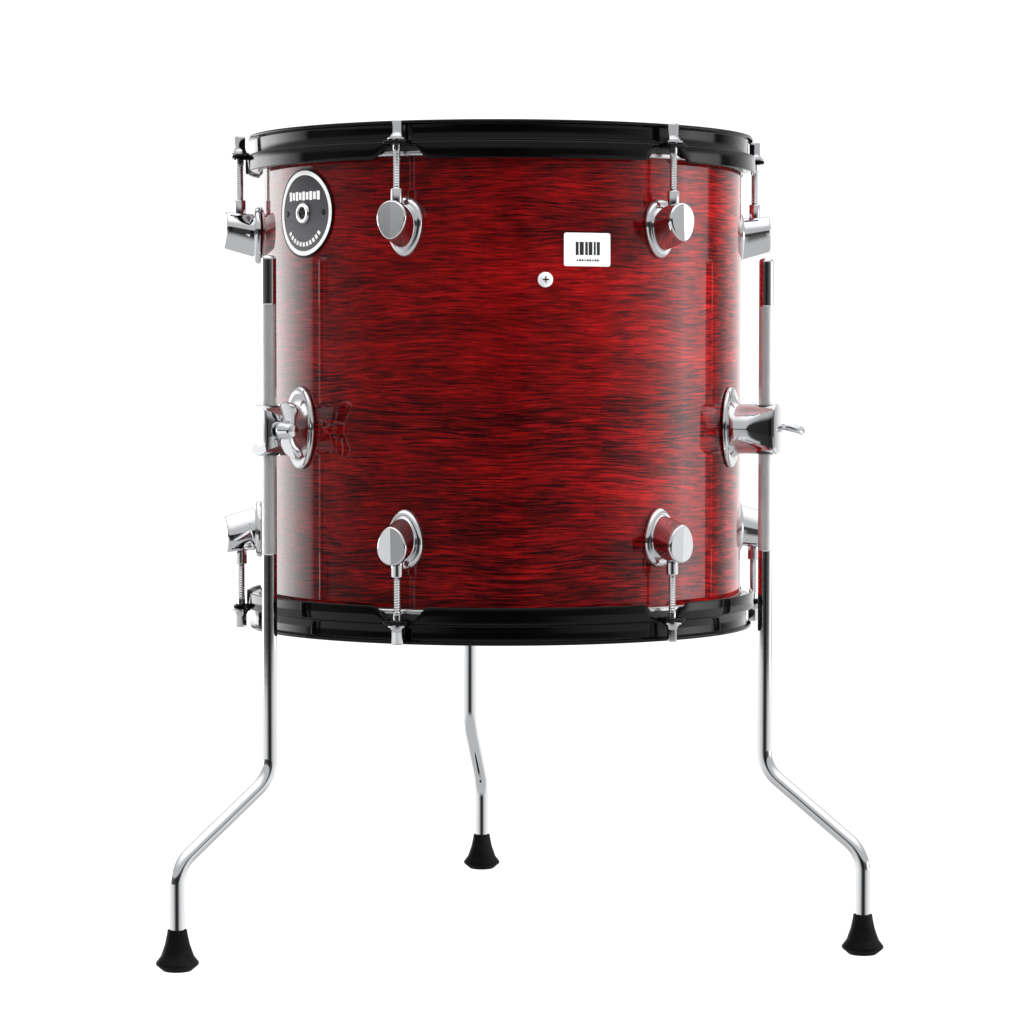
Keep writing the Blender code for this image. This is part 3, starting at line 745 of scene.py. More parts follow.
@dataclass(frozen=True)
class Datum:
    """Key places of the drum, read from the packed frame."""

    axis: Vector
    shell_radius: float
    shell_top: float
    shell_bottom: float
    lip_top: float

    @classmethod
    def read(cls) -> "Datum":
        """Measure the shell and the batter hoop."""
        low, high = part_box("shell")
        hoop_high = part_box("batter_hoop")[1]
        middle = (low + high) / 2
        return cls(
            axis=Vector((middle.x, middle.y, 0.0)),
            shell_radius=(high.x - low.x) / 2,
            shell_top=high.z,
            shell_bottom=low.z,
            lip_top=hoop_high.z,
        )

    @property
    def seat(self) -> float:
        """Radius on which pieces sit outside the shell."""
        return self.shell_radius + SEAT_CLEARANCE

    @property
    def inside(self) -> float:
        """Radius on which screws and nuts sit inside the shell."""
        return self.shell_radius - INNER_SEAT

    @property
    def middle(self) -> float:
        """Height halfway up the shell."""
        return (self.shell_top + self.shell_bottom) / 2

    @property
    def mirror(self) -> Matrix:
        """Mirror in the level plane halfway up the shell, for whole rings."""
        lift = Matrix.Translation((0.0, 0.0, self.middle))
        return lift @ Matrix.Scale(-1.0, 4, (0.0, 0.0, 1.0)) @ lift.inverted()

    @property
    def flip(self) -> Matrix:
        """Half turn about the local x axis halfway up the shell: top piece to bottom."""
        lift = Matrix.Translation((0.0, 0.0, self.middle))
        return lift @ Matrix.Rotation(math.pi, 4, "X") @ lift.inverted()


class Workshop:
    """Makes finishes once, stands pieces in place and hands them to the frame."""

    def __init__(self, datum: Datum) -> None:
        """Prepare every finish."""
        self.datum = datum
        self.pieces = 0
        self.finishes = self._finishes()

    def _finishes(self) -> dict[Finish, bpy.types.Material]:
        """Materials by finish."""
        centre = (self.datum.axis.x, self.datum.axis.y)
        low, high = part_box("badge")
        return {
            Finish.LACQUER: LacqueredVeneer().make("red_lacquered_veneer"),
            Finish.PLY: RawPly().make("bare_ply", centre),
            Finish.HOOP: BlackEnamel().make("black_enamel"),
            Finish.LUG: Plating().make("lug_plating"),
            Finish.ROD: Plating((0.74, 0.75, 0.77), 0.07, 0.08).make("rod_plating"),
            Finish.LEG: Plating(gloss=0.05, haze=0.05).make("leg_plating"),
            Finish.KNURL: Moulding(
                (0.78, 0.78, 0.79), (0.60, 0.60, 0.61), 0.22, 1500.0, 0.10, metal=0.78, shine=0.6
            ).make("knurled_steel"),
            Finish.BUTTON: Moulding(
                (0.84, 0.84, 0.85), (0.70, 0.70, 0.71), 0.30, 1500.0, 0.05, metal=0.35, shine=0.6
            ).make("button_nickel"),
            Finish.BRACKET: Plating(gloss=0.035, haze=0.05).make("bracket_plating"),
            Finish.SMALL: Plating(gloss=0.06).make("small_plating"),
            Finish.FLESH: Plating((0.80, 0.80, 0.81), 0.22, 0.12).make("flesh_hoop_metal"),
            Finish.COATED: CoatedFilm().make("coated_film", centre),
            Finish.HAZY: HazyFilm().make("hazy_film"),
            Finish.BADGE: BadgeEnamel().make("badge_enamel", mid_height("badge"), (high.z - low.z) / 2),
            Finish.BADGE_RIM: BlackEnamel(gloss=0.15).make("badge_rim"),
            Finish.BADGE_WHITE: Moulding(
                (0.86, 0.86, 0.86), (0.70, 0.70, 0.70), 0.35, relief=0.08
            ).make("badge_white"),
            Finish.LABEL: Moulding(
                (0.84, 0.85, 0.86), (0.72, 0.73, 0.74), 0.45, relief=0.06
            ).make("label_paper"),
            Finish.INK: Moulding((0.012, 0.012, 0.014), (0.05, 0.05, 0.05), 0.5).make("label_ink"),
            # Black nylon of the bushes, also painted shade on the flesh rings above their crimp.
            Finish.NYLON: Moulding((0.02, 0.02, 0.021), (0.05, 0.05, 0.05), 0.5).make("black_nylon"),
            Finish.ZINC: Plating((0.62, 0.62, 0.60), 0.3, 0.15).make("zinc_plate"),
            Finish.RUBBER: Moulding(
                (0.0035, 0.0035, 0.0035), (0.012, 0.012, 0.012), 0.40, 1300.0, 0.20, shine=0.04
            ).make("black_rubber"),
            # Dark rivet metal, also used as painted shade down in the front screw's cross recess.
            Finish.DARK: Moulding(
                (0.02, 0.013, 0.009), (0.07, 0.05, 0.035), 0.4, metal=0.6
            ).make("dark_recess"),
        }

    def stand(
        self,
        name: str,
        form: Shape | bpy.types.Mesh,
        finishes: Iterable[Finish],
        body: str,
        angle: float = 90.0,
        replaces: Sequence[str] = (),
        sharp: float = 32.0,
    ) -> bpy.types.Object:
        """Put a piece in place on its body.

        Args:
            name: Piece name.
            form: Shape in the local frame, or a finished mesh to share.
            finishes: Finish of each material slot in turn.
            body: CAD body it moves with.
            angle: Direction round the drum of its local x axis.
            replaces: CAD nodes that it stands for.
            sharp: Angle above which edges stay crisp.

        Returns:
            The new object.
        """
        turn = Matrix.Translation(self.datum.axis) @ rotated(angle)
        if isinstance(form, Shape):
            data = form.mesh(name, sharp)
        else:
            data = form.copy()
            data.name = name
        data.transform(turn)
        finishes = list(finishes)
        for finish in finishes:
            data.materials.append(self.finishes[finish])
        thing = linked(name, data)
        bpy.context.view_layer.update()
        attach(thing, body)
        if replaces:
            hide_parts(*replaces)
        finishes[0].slot
        self.pieces += 1
        LOG.info("%s on %s", name, body)
        return thing

    def stand_round(
        self, kind: str, piece: str, forms: Sequence[bpy.types.Mesh], finish: Finish, body: str = ""
    ) -> None:
        """Stand a piece at all twelve lugs.

        Args:
            kind: Middle part of the CAD nodes' names.
            piece: Middle part of the pieces' names.
            forms: The batter side's mesh and the resonant side's.
            finish: Their finish.
            body: Body of them all; each one's own if empty.
        """
        for side, mesh in zip(("batter", "resonant"), forms):
            for number, angle in enumerate(LUG_ANGLES, 1):
                name = f"{side}_{kind}_{number}"
                self.stand(f"{side}_{piece}_{number}", mesh, (finish,), body or name, angle, (name,))


def carved(form: Shape, steps: Sequence[tuple[str, Shape]], sharp: float = 32.0) -> bpy.types.Mesh:
    """Mesh of a shape after exact Boolean steps.

    Args:
        form: The shape to work on.
        steps: (operation, other shape) pairs.
        sharp: Angle above which edges stay crisp.

    Returns:
        The finished mesh.
    """
    thing = linked("blank", form.mesh("blank"))
    tools = []
    for operation, other in steps:
        tool = linked("tool", other.mesh("tool"))
        tools.append(tool)
        cut = thing.modifiers.new("cut", "BOOLEAN")
        cut.operation = operation
        cut.solver = "EXACT"
        cut.object = tool
    data = applied(thing)
    for tool in tools:
        bpy.data.objects.remove(tool, do_unlink=True)
    smooth(data, sharp)
    return data


def applied(thing: bpy.types.Object) -> bpy.types.Mesh:
    """Mesh of an object with its modifiers applied; the object itself is removed."""
    bpy.context.view_layer.update()
    graph = bpy.context.evaluated_depsgraph_get()
    data = bpy.data.meshes.new_from_object(thing.evaluated_get(graph))
    bpy.data.objects.remove(thing, do_unlink=True)
    return data


# ---------------------------------------------------------------- the drum's pieces


def fixing_screw(seat: float, tip: float, height: float) -> Shape:
    """Round-headed screw through the shell from inside, along the local x axis."""
    head = 5.0 * MM
    profile = [
        (0.6 * MM, seat - 3.2 * MM),
        *rounded(
            [
                (0.7 * MM, seat - 3.2 * MM, 0.0), (head, seat - 3.0 * MM, 1.6 * MM), (head, seat, 0.2 * MM),
                (SCREW_SHANK, seat, 0.0),
            ]
        ),
        (SCREW_SHANK, tip),
    ]
    return Shape.turned(profile, 32).along_x(height)


@dataclass
class WoodShell:
    """Ply shell with 45 degree bearing edges and a vent hole."""

    wall: float = 6.5 * MM
    edge: float = 1.5 * MM
    segments: int = 288
    drill_margin: float = 9 * MM
    skin: float = 0.4 * MM

    def build(self, shop: Workshop) -> None:
        """Build the shell and split its faces between lacquer and bare ply."""
        datum = shop.datum
        outer = datum.shell_radius
        inner = outer - self.wall
        low, high = datum.shell_bottom, datum.shell_top
        profile = rounded(
            [
                (inner, low + self.wall - self.edge, 0.6 * MM), (outer - self.edge, low, 0.5 * MM),
                (outer, low + self.edge, 0.5 * MM), (outer, high - self.edge, 0.5 * MM),
                (outer - self.edge, high, 0.5 * MM), (inner, high - self.wall + self.edge, 0.6 * MM),
            ],
            3,
            True,
            0.5 * MM,
        )
        ends = (inner - self.drill_margin, outer + self.drill_margin)
        drill = Shape.turned([(VENT_HOLE, end) for end in ends], 40)
        hole = drill.along_x(mid_height("badge")).moved(rotated(BADGE_ANGLE))
        data = carved(Shape.turned(profile, self.segments, True), [("DIFFERENCE", hole)])
        for face in data.polygons:
            face.material_index = 0 if face.center.xy.length > outer - self.skin else 1
        shop.stand("shell_wood", data, (Finish.LACQUER, Finish.PLY), "drum", 90.0, ("shell",))


@dataclass
class Badge:
    """Round badge bent to the shell, its ornaments, and the vent eyelet through it."""

    radius: float = 31.3 * MM
    thickness: float = 1.2 * MM
    sunk: float = 0.35 * MM
    proud: float = 0.08 * MM
    segments: int = 96
    face_rings: tuple[float, ...] = (23.0 * MM, 19.0 * MM, 15.0 * MM, 11.0 * MM)
    row_count: int = 9
    row_pitch: float = 4.1 * MM
    row_height: float = 12.0 * MM
    tick_count: int = 11
    tick_circle: float = 22.0 * MM
    tick_start: float = 130.0
    tick_pitch: float = 10.0
    rivet_offset: float = 21.5 * MM
    flange: float = 7.8 * MM
    bore: float = 4.2 * MM
    barrel: float = 5.3 * MM
    nut_seat: float = 7.1 * MM

    def bend(self, seat: float) -> Callable[[Point], Point]:
        """Move a point (across, up, level above the seat) onto the shell's curve."""
        middle = mid_height("badge")

        def onto(point: Point) -> Point:
            """Local place of one point."""
            return (math.sqrt((seat + point[2]) ** 2 - point[0] ** 2), point[0], middle + point[1])

        return onto

    def raised(self, outline: Iterable[Pair]) -> Shape:
        """Small block that stands up from the face."""
        spots = list(outline)
        levels = (self.thickness - self.sunk, self.thickness - self.proud)
        return Shape.loft([[(*spot, level) for spot in spots] for level in levels], slot=2)

    def tick(self, reach: float, turn: float, size: Pair) -> Shape:
        """Block at a distance and direction from the centre, bent round it."""
        arms = [(reach + up, turn + across / reach) for across, up in rectangle(*size)]
        return self.raised((arm * math.sin(bearing), arm * math.cos(bearing)) for arm, bearing in arms)

    def block(self, centre: Pair, size: Pair) -> Shape:
        """Upright block."""
        return self.raised((centre[0] + side, centre[1] + rise) for side, rise in rectangle(*size))

    def plate(self) -> Shape:
        """Disc with a black rim, a white band and a sunk dark face."""
        full = self.thickness
        outline = [
            (VENT_HOLE, 0.0), (self.radius - 0.2 * MM, 0.0), (self.radius, 0.3 * MM),
            (self.radius, full - 0.3 * MM), (self.radius - 0.25 * MM, full), (self.radius - 1.3 * MM, full),
            (self.radius - 1.5 * MM, full - 0.2 * MM), (self.radius - 4.4 * MM, full - 0.2 * MM),
            (self.radius - 4.6 * MM, full - 0.4 * MM),
            *((radius, full - 0.4 * MM) for radius in (*self.face_rings, VENT_HOLE)),
        ]
        bands = [1, 1, 1, 1, 1, 1, 2, 2, 0, 0, 0, 0, 0, 1]
        form = Shape.turned(outline, self.segments, True)
        form.slots = [slot for slot in bands for _ in range(self.segments)]
        return form

    def ornaments(self) -> Shape:
        """Row of upright blocks, an arc of ticks below it and a pair of small rivets."""
        form = Shape()
        for step in range(self.row_count):
            across = (step - self.row_count // 2) * self.row_pitch
            tall = (2.6 if step % 2 else 3.1) * MM
            form = form + self.block((across, self.row_height), (1.45 * MM, tall))
        for step in range(self.tick_count):
            turn = math.radians(self.tick_start + self.tick_pitch * step)
            form = form + self.tick(self.tick_circle, turn, (1.1 * MM, 1.5 * MM))
        corners = [(0.2 * MM, 1.5 * MM, 0.0), (1.9 * MM, 1.5 * MM, 0.8 * MM), (2.0 * MM, 0.5 * MM, 0.0)]
        dome = rounded(corners, 4)
        for side in (-self.rivet_offset, self.rivet_offset):
            rivet = Shape.turned(dome, 24, slot=3)
            form = form + rivet.shifted(side)
        return form

    def build(self, shop: Workshop) -> None:
        """Build the badge and the eyelet."""
        seat = shop.datum.seat
        form = (self.plate() + self.ornaments()).moved(self.bend(seat))
        finishes = (Finish.BADGE, Finish.BADGE_RIM, Finish.BADGE_WHITE, Finish.DARK)
        shop.stand("badge_plate", form, finishes, "drum", BADGE_ANGLE, ("badge",))
        face = seat + self.thickness + SEAT_CLEARANCE
        inside = shop.datum.shell_radius - self.nut_seat
        profile = rounded(
            [
                (self.bore, inside - 1.4 * MM, 0.5 * MM),
                (self.flange - 0.6 * MM, inside - 1.4 * MM, 0.6 * MM),
                (self.flange - 0.6 * MM, inside, 0.2 * MM), (self.barrel, inside, 0.2 * MM),
                (self.barrel, face, 0.2 * MM), (self.flange, face, 0.3 * MM),
                (self.flange - 1.0 * MM, face + 1.4 * MM, 0.9 * MM), (self.bore, face + 1.4 * MM, 0.7 * MM),
            ],
            5,
            True,
        )
        eyelet = Shape.turned(profile, 64, True).along_x(mid_height("badge"))
        shop.stand("vent_eyelet", eyelet, (Finish.SMALL,), "drum", BADGE_ANGLE, ("vent_grommet",), 50.0)


@dataclass
class SmallFittings:
    """Round screw on the front of the shell and the white label above it."""

    button_angle: float = 2.0
    button_radius: float = 5.3 * MM
    recess_levels: Pair = (0.3 * MM, 1.9 * MM)
    recess_reach: float = 2.7 * MM
    label_angle: float = 11.7
    label_half: Pair = (17.0 * MM, 11.4 * MM)
    label_thickness: float = 0.4 * MM
    label_corner: float = 1.5 * MM
    dash_count: int = 9

    def button(self, shop: Workshop) -> None:
        """Build the domed screw with its cross recess and the nut inside."""
        middle = mid_height("front_screw")
        seat, inner = shop.datum.seat, shop.datum.inside
        profile = rounded(
            [
                (0.4 * MM, inner - 4.2 * MM, 0.0), (SCREW_SHANK, inner - 4.2 * MM, 0.4 * MM),
                (SCREW_SHANK, inner - 2.6 * MM, 0.2 * MM), (4.3 * MM, inner - 2.5 * MM, 0.4 * MM),
                (4.4 * MM, inner, 0.2 * MM), (SCREW_SHANK, inner, 0.2 * MM), (SCREW_SHANK, seat, 0.2 * MM),
                (self.button_radius, seat, 0.3 * MM), (self.button_radius, seat + 1.0 * MM, 0.9 * MM),
                (self.button_radius - 1.6 * MM, seat + 2.1 * MM, 1.4 * MM),
                (0.4 * MM, seat + 2.3 * MM, 0.0),
            ],
            4,
        )
        blank = Shape.turned(profile, 48).along_x(middle)
        steps = []
        for wide, tall in ((2.3 * MM, 0.5 * MM), (0.5 * MM, 2.3 * MM)):
            rings = []
            for depth, taper in ((seat + 0.4 * MM, 0.6), (seat + 3.0 * MM, 1.1)):
                corners = rectangle(wide, tall)
                rings.append([(depth, side * taper, middle + up * taper) for side, up in corners])
            steps.append(("DIFFERENCE", Shape.loft(rings)))
        data = carved(blank, steps, 40.0)
        # Faces down in the cross recess take the dark finish, which paints the shade inside the recess.
        for face in data.polygons:
            spot = face.center
            off_axis = math.hypot(spot.y, spot.z - middle)
            low, high = self.recess_levels
            sunk = seat + low < spot.x < seat + high and off_axis < self.recess_reach
            face.material_index = 1 if sunk else 0
        finishes = (Finish.BUTTON, Finish.DARK)
        shop.stand("front_screw_dome", data, finishes, "drum", self.button_angle, ("front_screw",))

    def slab(self, seat: float, centre: Point, half: Pair, levels: Pair, corner: float, slot: int) -> Shape:
        """Rounded rectangle bent to the shell.

        Args:
            seat: Radius it lies on.
            centre: Sideways place, height of the label's middle, height above that.
            half: Half its width and height.
            levels: Lower and upper level above the seat.
            corner: Corner radius.
            slot: Material slot.

        Returns:
            The slab, drawn in strips so that it bends.
        """
        side, base, rise = centre
        wide, tall = half
        columns: list[Pair] = []
        for step in range(6):
            turn = math.radians(90 * step / 5)
            columns.append((-wide + corner * (1 - math.cos(turn)), tall - corner * (1 - math.sin(turn))))
        strips = max(2, int(wide / (2.0 * MM)))
        flat = [(-wide + corner + 2 * (wide - corner) * step / strips, tall) for step in range(1, strips)]
        columns = columns + flat + [(-across, up) for across, up in reversed(columns)]
        rings = []
        for across, up in columns:
            ring = []
            for level, sign in ((levels[0], -1), (levels[0], 1), (levels[1], 1), (levels[1], -1)):
                reach = side + across
                depth = math.sqrt((seat + level) ** 2 - reach**2)
                ring.append((depth, reach, base + rise + sign * up))
            rings.append(ring)
        return Shape.loft(rings, slot=slot)

    def label(self, shop: Workshop) -> None:
        """Build the label: a block of plain upright bars over a row of dashes."""
        middle = mid_height("label")
        seat = shop.datum.seat
        paper = self.label_thickness - 0.06 * MM
        form = self.slab(seat, (0.0, middle, 0.0), self.label_half, (0.0, paper), self.label_corner, 0)
        bars = ((-7.7, 1.1), (-4.4, 1.5), (-0.9, 1.0), (2.1, 1.4), (5.2, 0.8), (7.9, 1.2))
        levels = (paper - 0.05 * MM, self.label_thickness)
        for offset, wide in bars:
            spot = (offset * MM, middle, 0.7 * MM)
            form = form + self.slab(seat, spot, (wide * MM, 4.6 * MM), levels, 0.25 * MM, 1)
        for index in range(self.dash_count):
            spot = ((-7.6 + 1.9 * index) * MM, middle, -7.4 * MM)
            wide = (0.75 if index % 3 else 0.5) * MM
            form = form + self.slab(seat, spot, (wide, 0.8 * MM), levels, 0.2 * MM, 1)
        shop.stand("label_plate", form, (Finish.LABEL, Finish.INK), "drum", self.label_angle, ("label",))

    def build(self, shop: Workshop) -> None:
        """Build both fittings."""
        self.button(shop)
        self.label(shop)


@dataclass
class RimAssembly:
    """Head, flesh hoop and triple-flanged hoop of one side, drawn for the batter side."""

    inner: float = 180.5 * MM
    sheet: float = 2.0 * MM
    lip: float = 186.3 * MM
    lip_depth: float = 2.4 * MM
    tall: float = 26.3 * MM
    skirt: float = 188.0 * MM
    ear: float = 198.5 * MM
    ear_half: float = 2.62
    ear_blend: float = 3.6
    least_hang: float = 0.05
    hole: float = 3.52 * MM
    film: float = 0.5 * MM
    crimp: float = 3.1 * MM
    collar_depth: float = 9.0 * MM
    ring_size: Pair = (5.6 * MM, 7.8 * MM)
    segments: int = 192
    plain_steps: int = 26

    def section(self, top: float, hang: float, reach: float) -> list[Pair]:
        """Rounded hoop section for an amount of skirt and an amount of ear."""
        wall = self.inner + self.sheet
        step = top - STEP_DEPTH
        under = step - self.sheet
        drop = (self.tall - STEP_DEPTH - self.sheet) * hang + 0.2 * MM * (1 - hang)
        edge = self.skirt + (self.ear - self.skirt) * reach
        small = 0.7 * MM
        return rounded(
            [
                (self.inner, under, small), (self.inner, top, 1.3 * MM), (self.lip, top, 1.1 * MM),
                (self.lip, top - self.lip_depth, 0.8 * MM), (wall, top - self.lip_depth, 0.9 * MM),
                (wall, step, 1.5 * MM), (edge, step, 1.5 * MM), (edge, under - drop, small),
                (edge - self.sheet, under - drop, small), (edge - self.sheet - 0.1 * MM, under, small),
            ],
            3,
            True,
        )

    def stations(self) -> list[tuple[float, float, float]]:
        """Angles round the hoop with the amount of skirt and of ear at each."""
        offsets = [0.0, 0.9, 1.7, 2.1, 2.32, 2.46, 2.55, 2.6, self.ear_half, 2.75]
        offsets += [3.0, 3.3, 3.6, 3.9, 4.2, 4.5, 4.8, 5.1, 5.4, 5.7, 6.0, 6.3, 7.0]
        both = [-offset for offset in reversed(offsets[1:])] + offsets
        stations = []
        for lug in LUG_ANGLES:
            for offset in both:
                away = abs(offset)
                rise = min(1.0, max(0.0, (away - self.ear_half - 0.1) / self.ear_blend))
                hang = self.least_hang + (1 - self.least_hang) * rise * rise * (3 - 2 * rise)
                reach = max(0.0, 1 - (away / self.ear_half) ** 7) ** (1 / 7) if away < self.ear_half else 0.0
                stations.append((lug + offset, hang, reach))
            gap = 60.0 - 2 * offsets[-1]
            start = lug + offsets[-1]
            steps = range(1, self.plain_steps)
            stations += [(start + gap * step / self.plain_steps, 1.0, 0.0) for step in steps]
        return stations

    def hoop(self, top: float) -> bpy.types.Mesh:
        """Hoop with six drilled ears."""
        rings = []
        for angle, hang, reach in self.stations():
            turn = math.radians(angle)
            rings.append(
                [(r * math.sin(turn), -r * math.cos(turn), z) for r, z in self.section(top, hang, reach)]
            )
        drill = Shape()
        for angle in LUG_ANGLES:
            bit = Shape.turned([(self.hole, top - self.tall), (self.hole, top)], 32)
            drill = drill + bit.shifted(ROD_CIRCLE).moved(rotated(angle))
        data = carved(Shape.loft(rings, True), [("DIFFERENCE", drill)], 38.0)
        data.transform(rotated(90.0).inverted())
        return data

    def head(self, datum: Datum) -> Shape:
        """Film drawn over the bearing edge down to its collar."""
        outer = datum.seat + self.film
        inner = outer - self.film
        high = datum.shell_top + SEAT_CLEARANCE + self.film
        low = high - self.film
        collar = datum.shell_top - self.collar_depth
        profile = rounded(
            [
                (1.0 * MM, high, 0.0), (60.0 * MM, high, 0.0), (120.0 * MM, high, 0.0),
                (outer, high, 1.7 * MM), (outer, collar, 0.2 * MM), (inner, collar, 0.2 * MM),
                (inner, low, 1.2 * MM), (120.0 * MM, low, 0.0), (60.0 * MM, low, 0.0), (1.0 * MM, low, 0.0),
            ],
            5,
        )
        return Shape.turned(profile, self.segments)

    def flesh_hoop(self, datum: Datum) -> Shape:
        """Metal ring that the film is crimped into."""
        inner = datum.shell_radius + self.film + 2 * SEAT_CLEARANCE
        top = datum.lip_top - STEP_DEPTH - self.sheet - SEAT_CLEARANCE
        outer = inner + self.ring_size[0]
        low = top - self.ring_size[1]
        profile = rounded(
            [
                (inner, low, 0.6 * MM), (outer, low, 1.2 * MM), (outer, low + self.crimp, 0.3 * MM),
                (outer - 0.5 * MM, low + self.crimp + 0.3 * MM, 0.3 * MM),
                (outer - 0.5 * MM, top, 0.9 * MM), (inner, top, 0.6 * MM),
            ],
            3,
            True,
        )
        form = Shape.turned(profile, self.segments, True)
        count = len(profile)
        heights = [(profile[band][1] + profile[(band + 1) % count][1]) / 2 for band in range(count)]
        # Painted shade: faces above the crimp take the black finish, standing in for the shade and dark
        # reflection under the hoop.
        form.slots = [int(height > low + self.crimp) for height in heights for _ in range(self.segments)]
        return form

    def build(self, shop: Workshop) -> None:
        """Build both sides; the lower one mirrors the upper one."""
        datum = shop.datum
        hoop = self.hoop(datum.lip_top)
        low_hoop = hoop.copy()
        low_hoop.transform(datum.mirror)
        low_hoop.flip_normals()
        for side, mesh in (("batter", hoop), ("resonant", low_hoop)):
            film = self.head(datum)
            ring = self.flesh_hoop(datum)
            if side == "resonant":
                film, ring = film.moved(datum.mirror), ring.moved(datum.mirror)
            skin = Finish.COATED if side == "batter" else Finish.HAZY
            for piece, form, finishes, node in (
                ("film", film, (skin,), "head"),
                # The flesh ring's second finish is painted shade on its upper band.
                ("flesh_ring", ring, (Finish.FLESH, Finish.NYLON), "flesh_hoop"),
                ("steel_hoop", mesh, (Finish.HOOP,), "hoop"),
            ):
                shop.stand(f"{side}_{piece}", form, finishes, f"{side}_rim", 90.0, (f"{side}_{node}",))


@dataclass
class TensionRods:
    """Threaded rods with a washer, a domed flange and a square key head."""

    radius: float = 2.75 * MM
    tip: float = 505.3 * MM
    thread_end: float = 566.5 * MM
    pitch: float = 1.75 * MM
    thread_depth: float = 0.7 * MM
    washer: Pair = (6.75 * MM, 1.5 * MM)
    flange: float = 5.0 * MM
    key_half: float = 3.1 * MM
    key_turn: float = 30.0
    key_corner: float = 1.27
    around: int = 24

    def ring(self, radius: float, height: float, square: float = 0.0) -> Ring:
        """Level ring, round or pulled towards a square whose half width is the radius."""
        points = []
        for step in range(self.around):
            turn = math.tau * step / self.around
            facing = turn - math.radians(self.key_turn)
            corner = min(1 / max(abs(math.cos(facing)), abs(math.sin(facing))), self.key_corner)
            reach = radius * (1 + (corner - 1) * square)
            points.append((ROD_CIRCLE + reach * math.cos(turn), reach * math.sin(turn), height))
        return points

    def thread(self) -> list[Ring]:
        """Rings of the threaded shank, four to a turn of the thread."""
        rings = []
        height = self.tip + 1.0 * MM
        while height < self.thread_end:
            ring = []
            fade = min(1.0, (self.thread_end - height) / (2 * self.pitch))
            for step in range(self.around):
                share = step / self.around
                phase = (height / self.pitch - share) % 1.0
                reach = self.radius - self.thread_depth * abs(2 * phase - 1) * fade
                turn = math.tau * share
                ring.append((ROD_CIRCLE + reach * math.cos(turn), reach * math.sin(turn), height))
            rings.append(ring)
            height += self.pitch / 4
        return rings

    def rod(self, datum: Datum) -> Shape:
        """Whole batter-side rod."""
        seat = datum.lip_top - STEP_DEPTH + SEAT_CLEARANCE
        wide, thick = self.washer
        flange = seat + thick
        top = datum.lip_top
        rings = [self.ring(self.radius - 1.1 * MM, self.tip), *self.thread()]
        outline = [
            (self.radius, self.thread_end + 0.3 * MM, 0.0), (self.radius, seat, 0.0),
            (wide - 0.3 * MM, seat, 0.0), (wide, seat + 0.25 * MM, 0.0), (wide, flange - 0.35 * MM, 0.0),
            (wide - 0.1 * MM, flange - 0.12 * MM, 0.0), (wide - 0.4 * MM, flange, 0.0),
            (self.flange, flange + 0.05 * MM, 0.0), (self.flange, flange + 0.75 * MM, 0.0),
            (self.flange - 0.25 * MM, flange + 1.15 * MM, 0.0),
            (self.flange - 0.8 * MM, flange + 1.7 * MM, 0.15),
            (self.flange - 1.3 * MM, flange + 2.5 * MM, 0.5),
            (self.key_half + 0.1 * MM, flange + 3.4 * MM, 0.9), (self.key_half, flange + 3.9 * MM, 1.0),
            (self.key_half, top - 1.2 * MM, 1.0), (self.key_half - 0.25 * MM, top - 0.55 * MM, 1.0),
            (self.key_half - 0.8 * MM, top - 0.12 * MM, 0.8), (self.key_half - 1.6 * MM, top, 0.4),
        ]
        rings += [self.ring(*spot) for spot in outline]
        return Shape.loft(rings)

    def build(self, shop: Workshop) -> None:
        """Build twelve rods."""
        rod = self.rod(shop.datum)
        forms = [form.mesh("rod", 40.0) for form in (rod, rod.moved(shop.datum.flip))]
        shop.stand_round("rod", "tension_rod", forms, Finish.ROD)


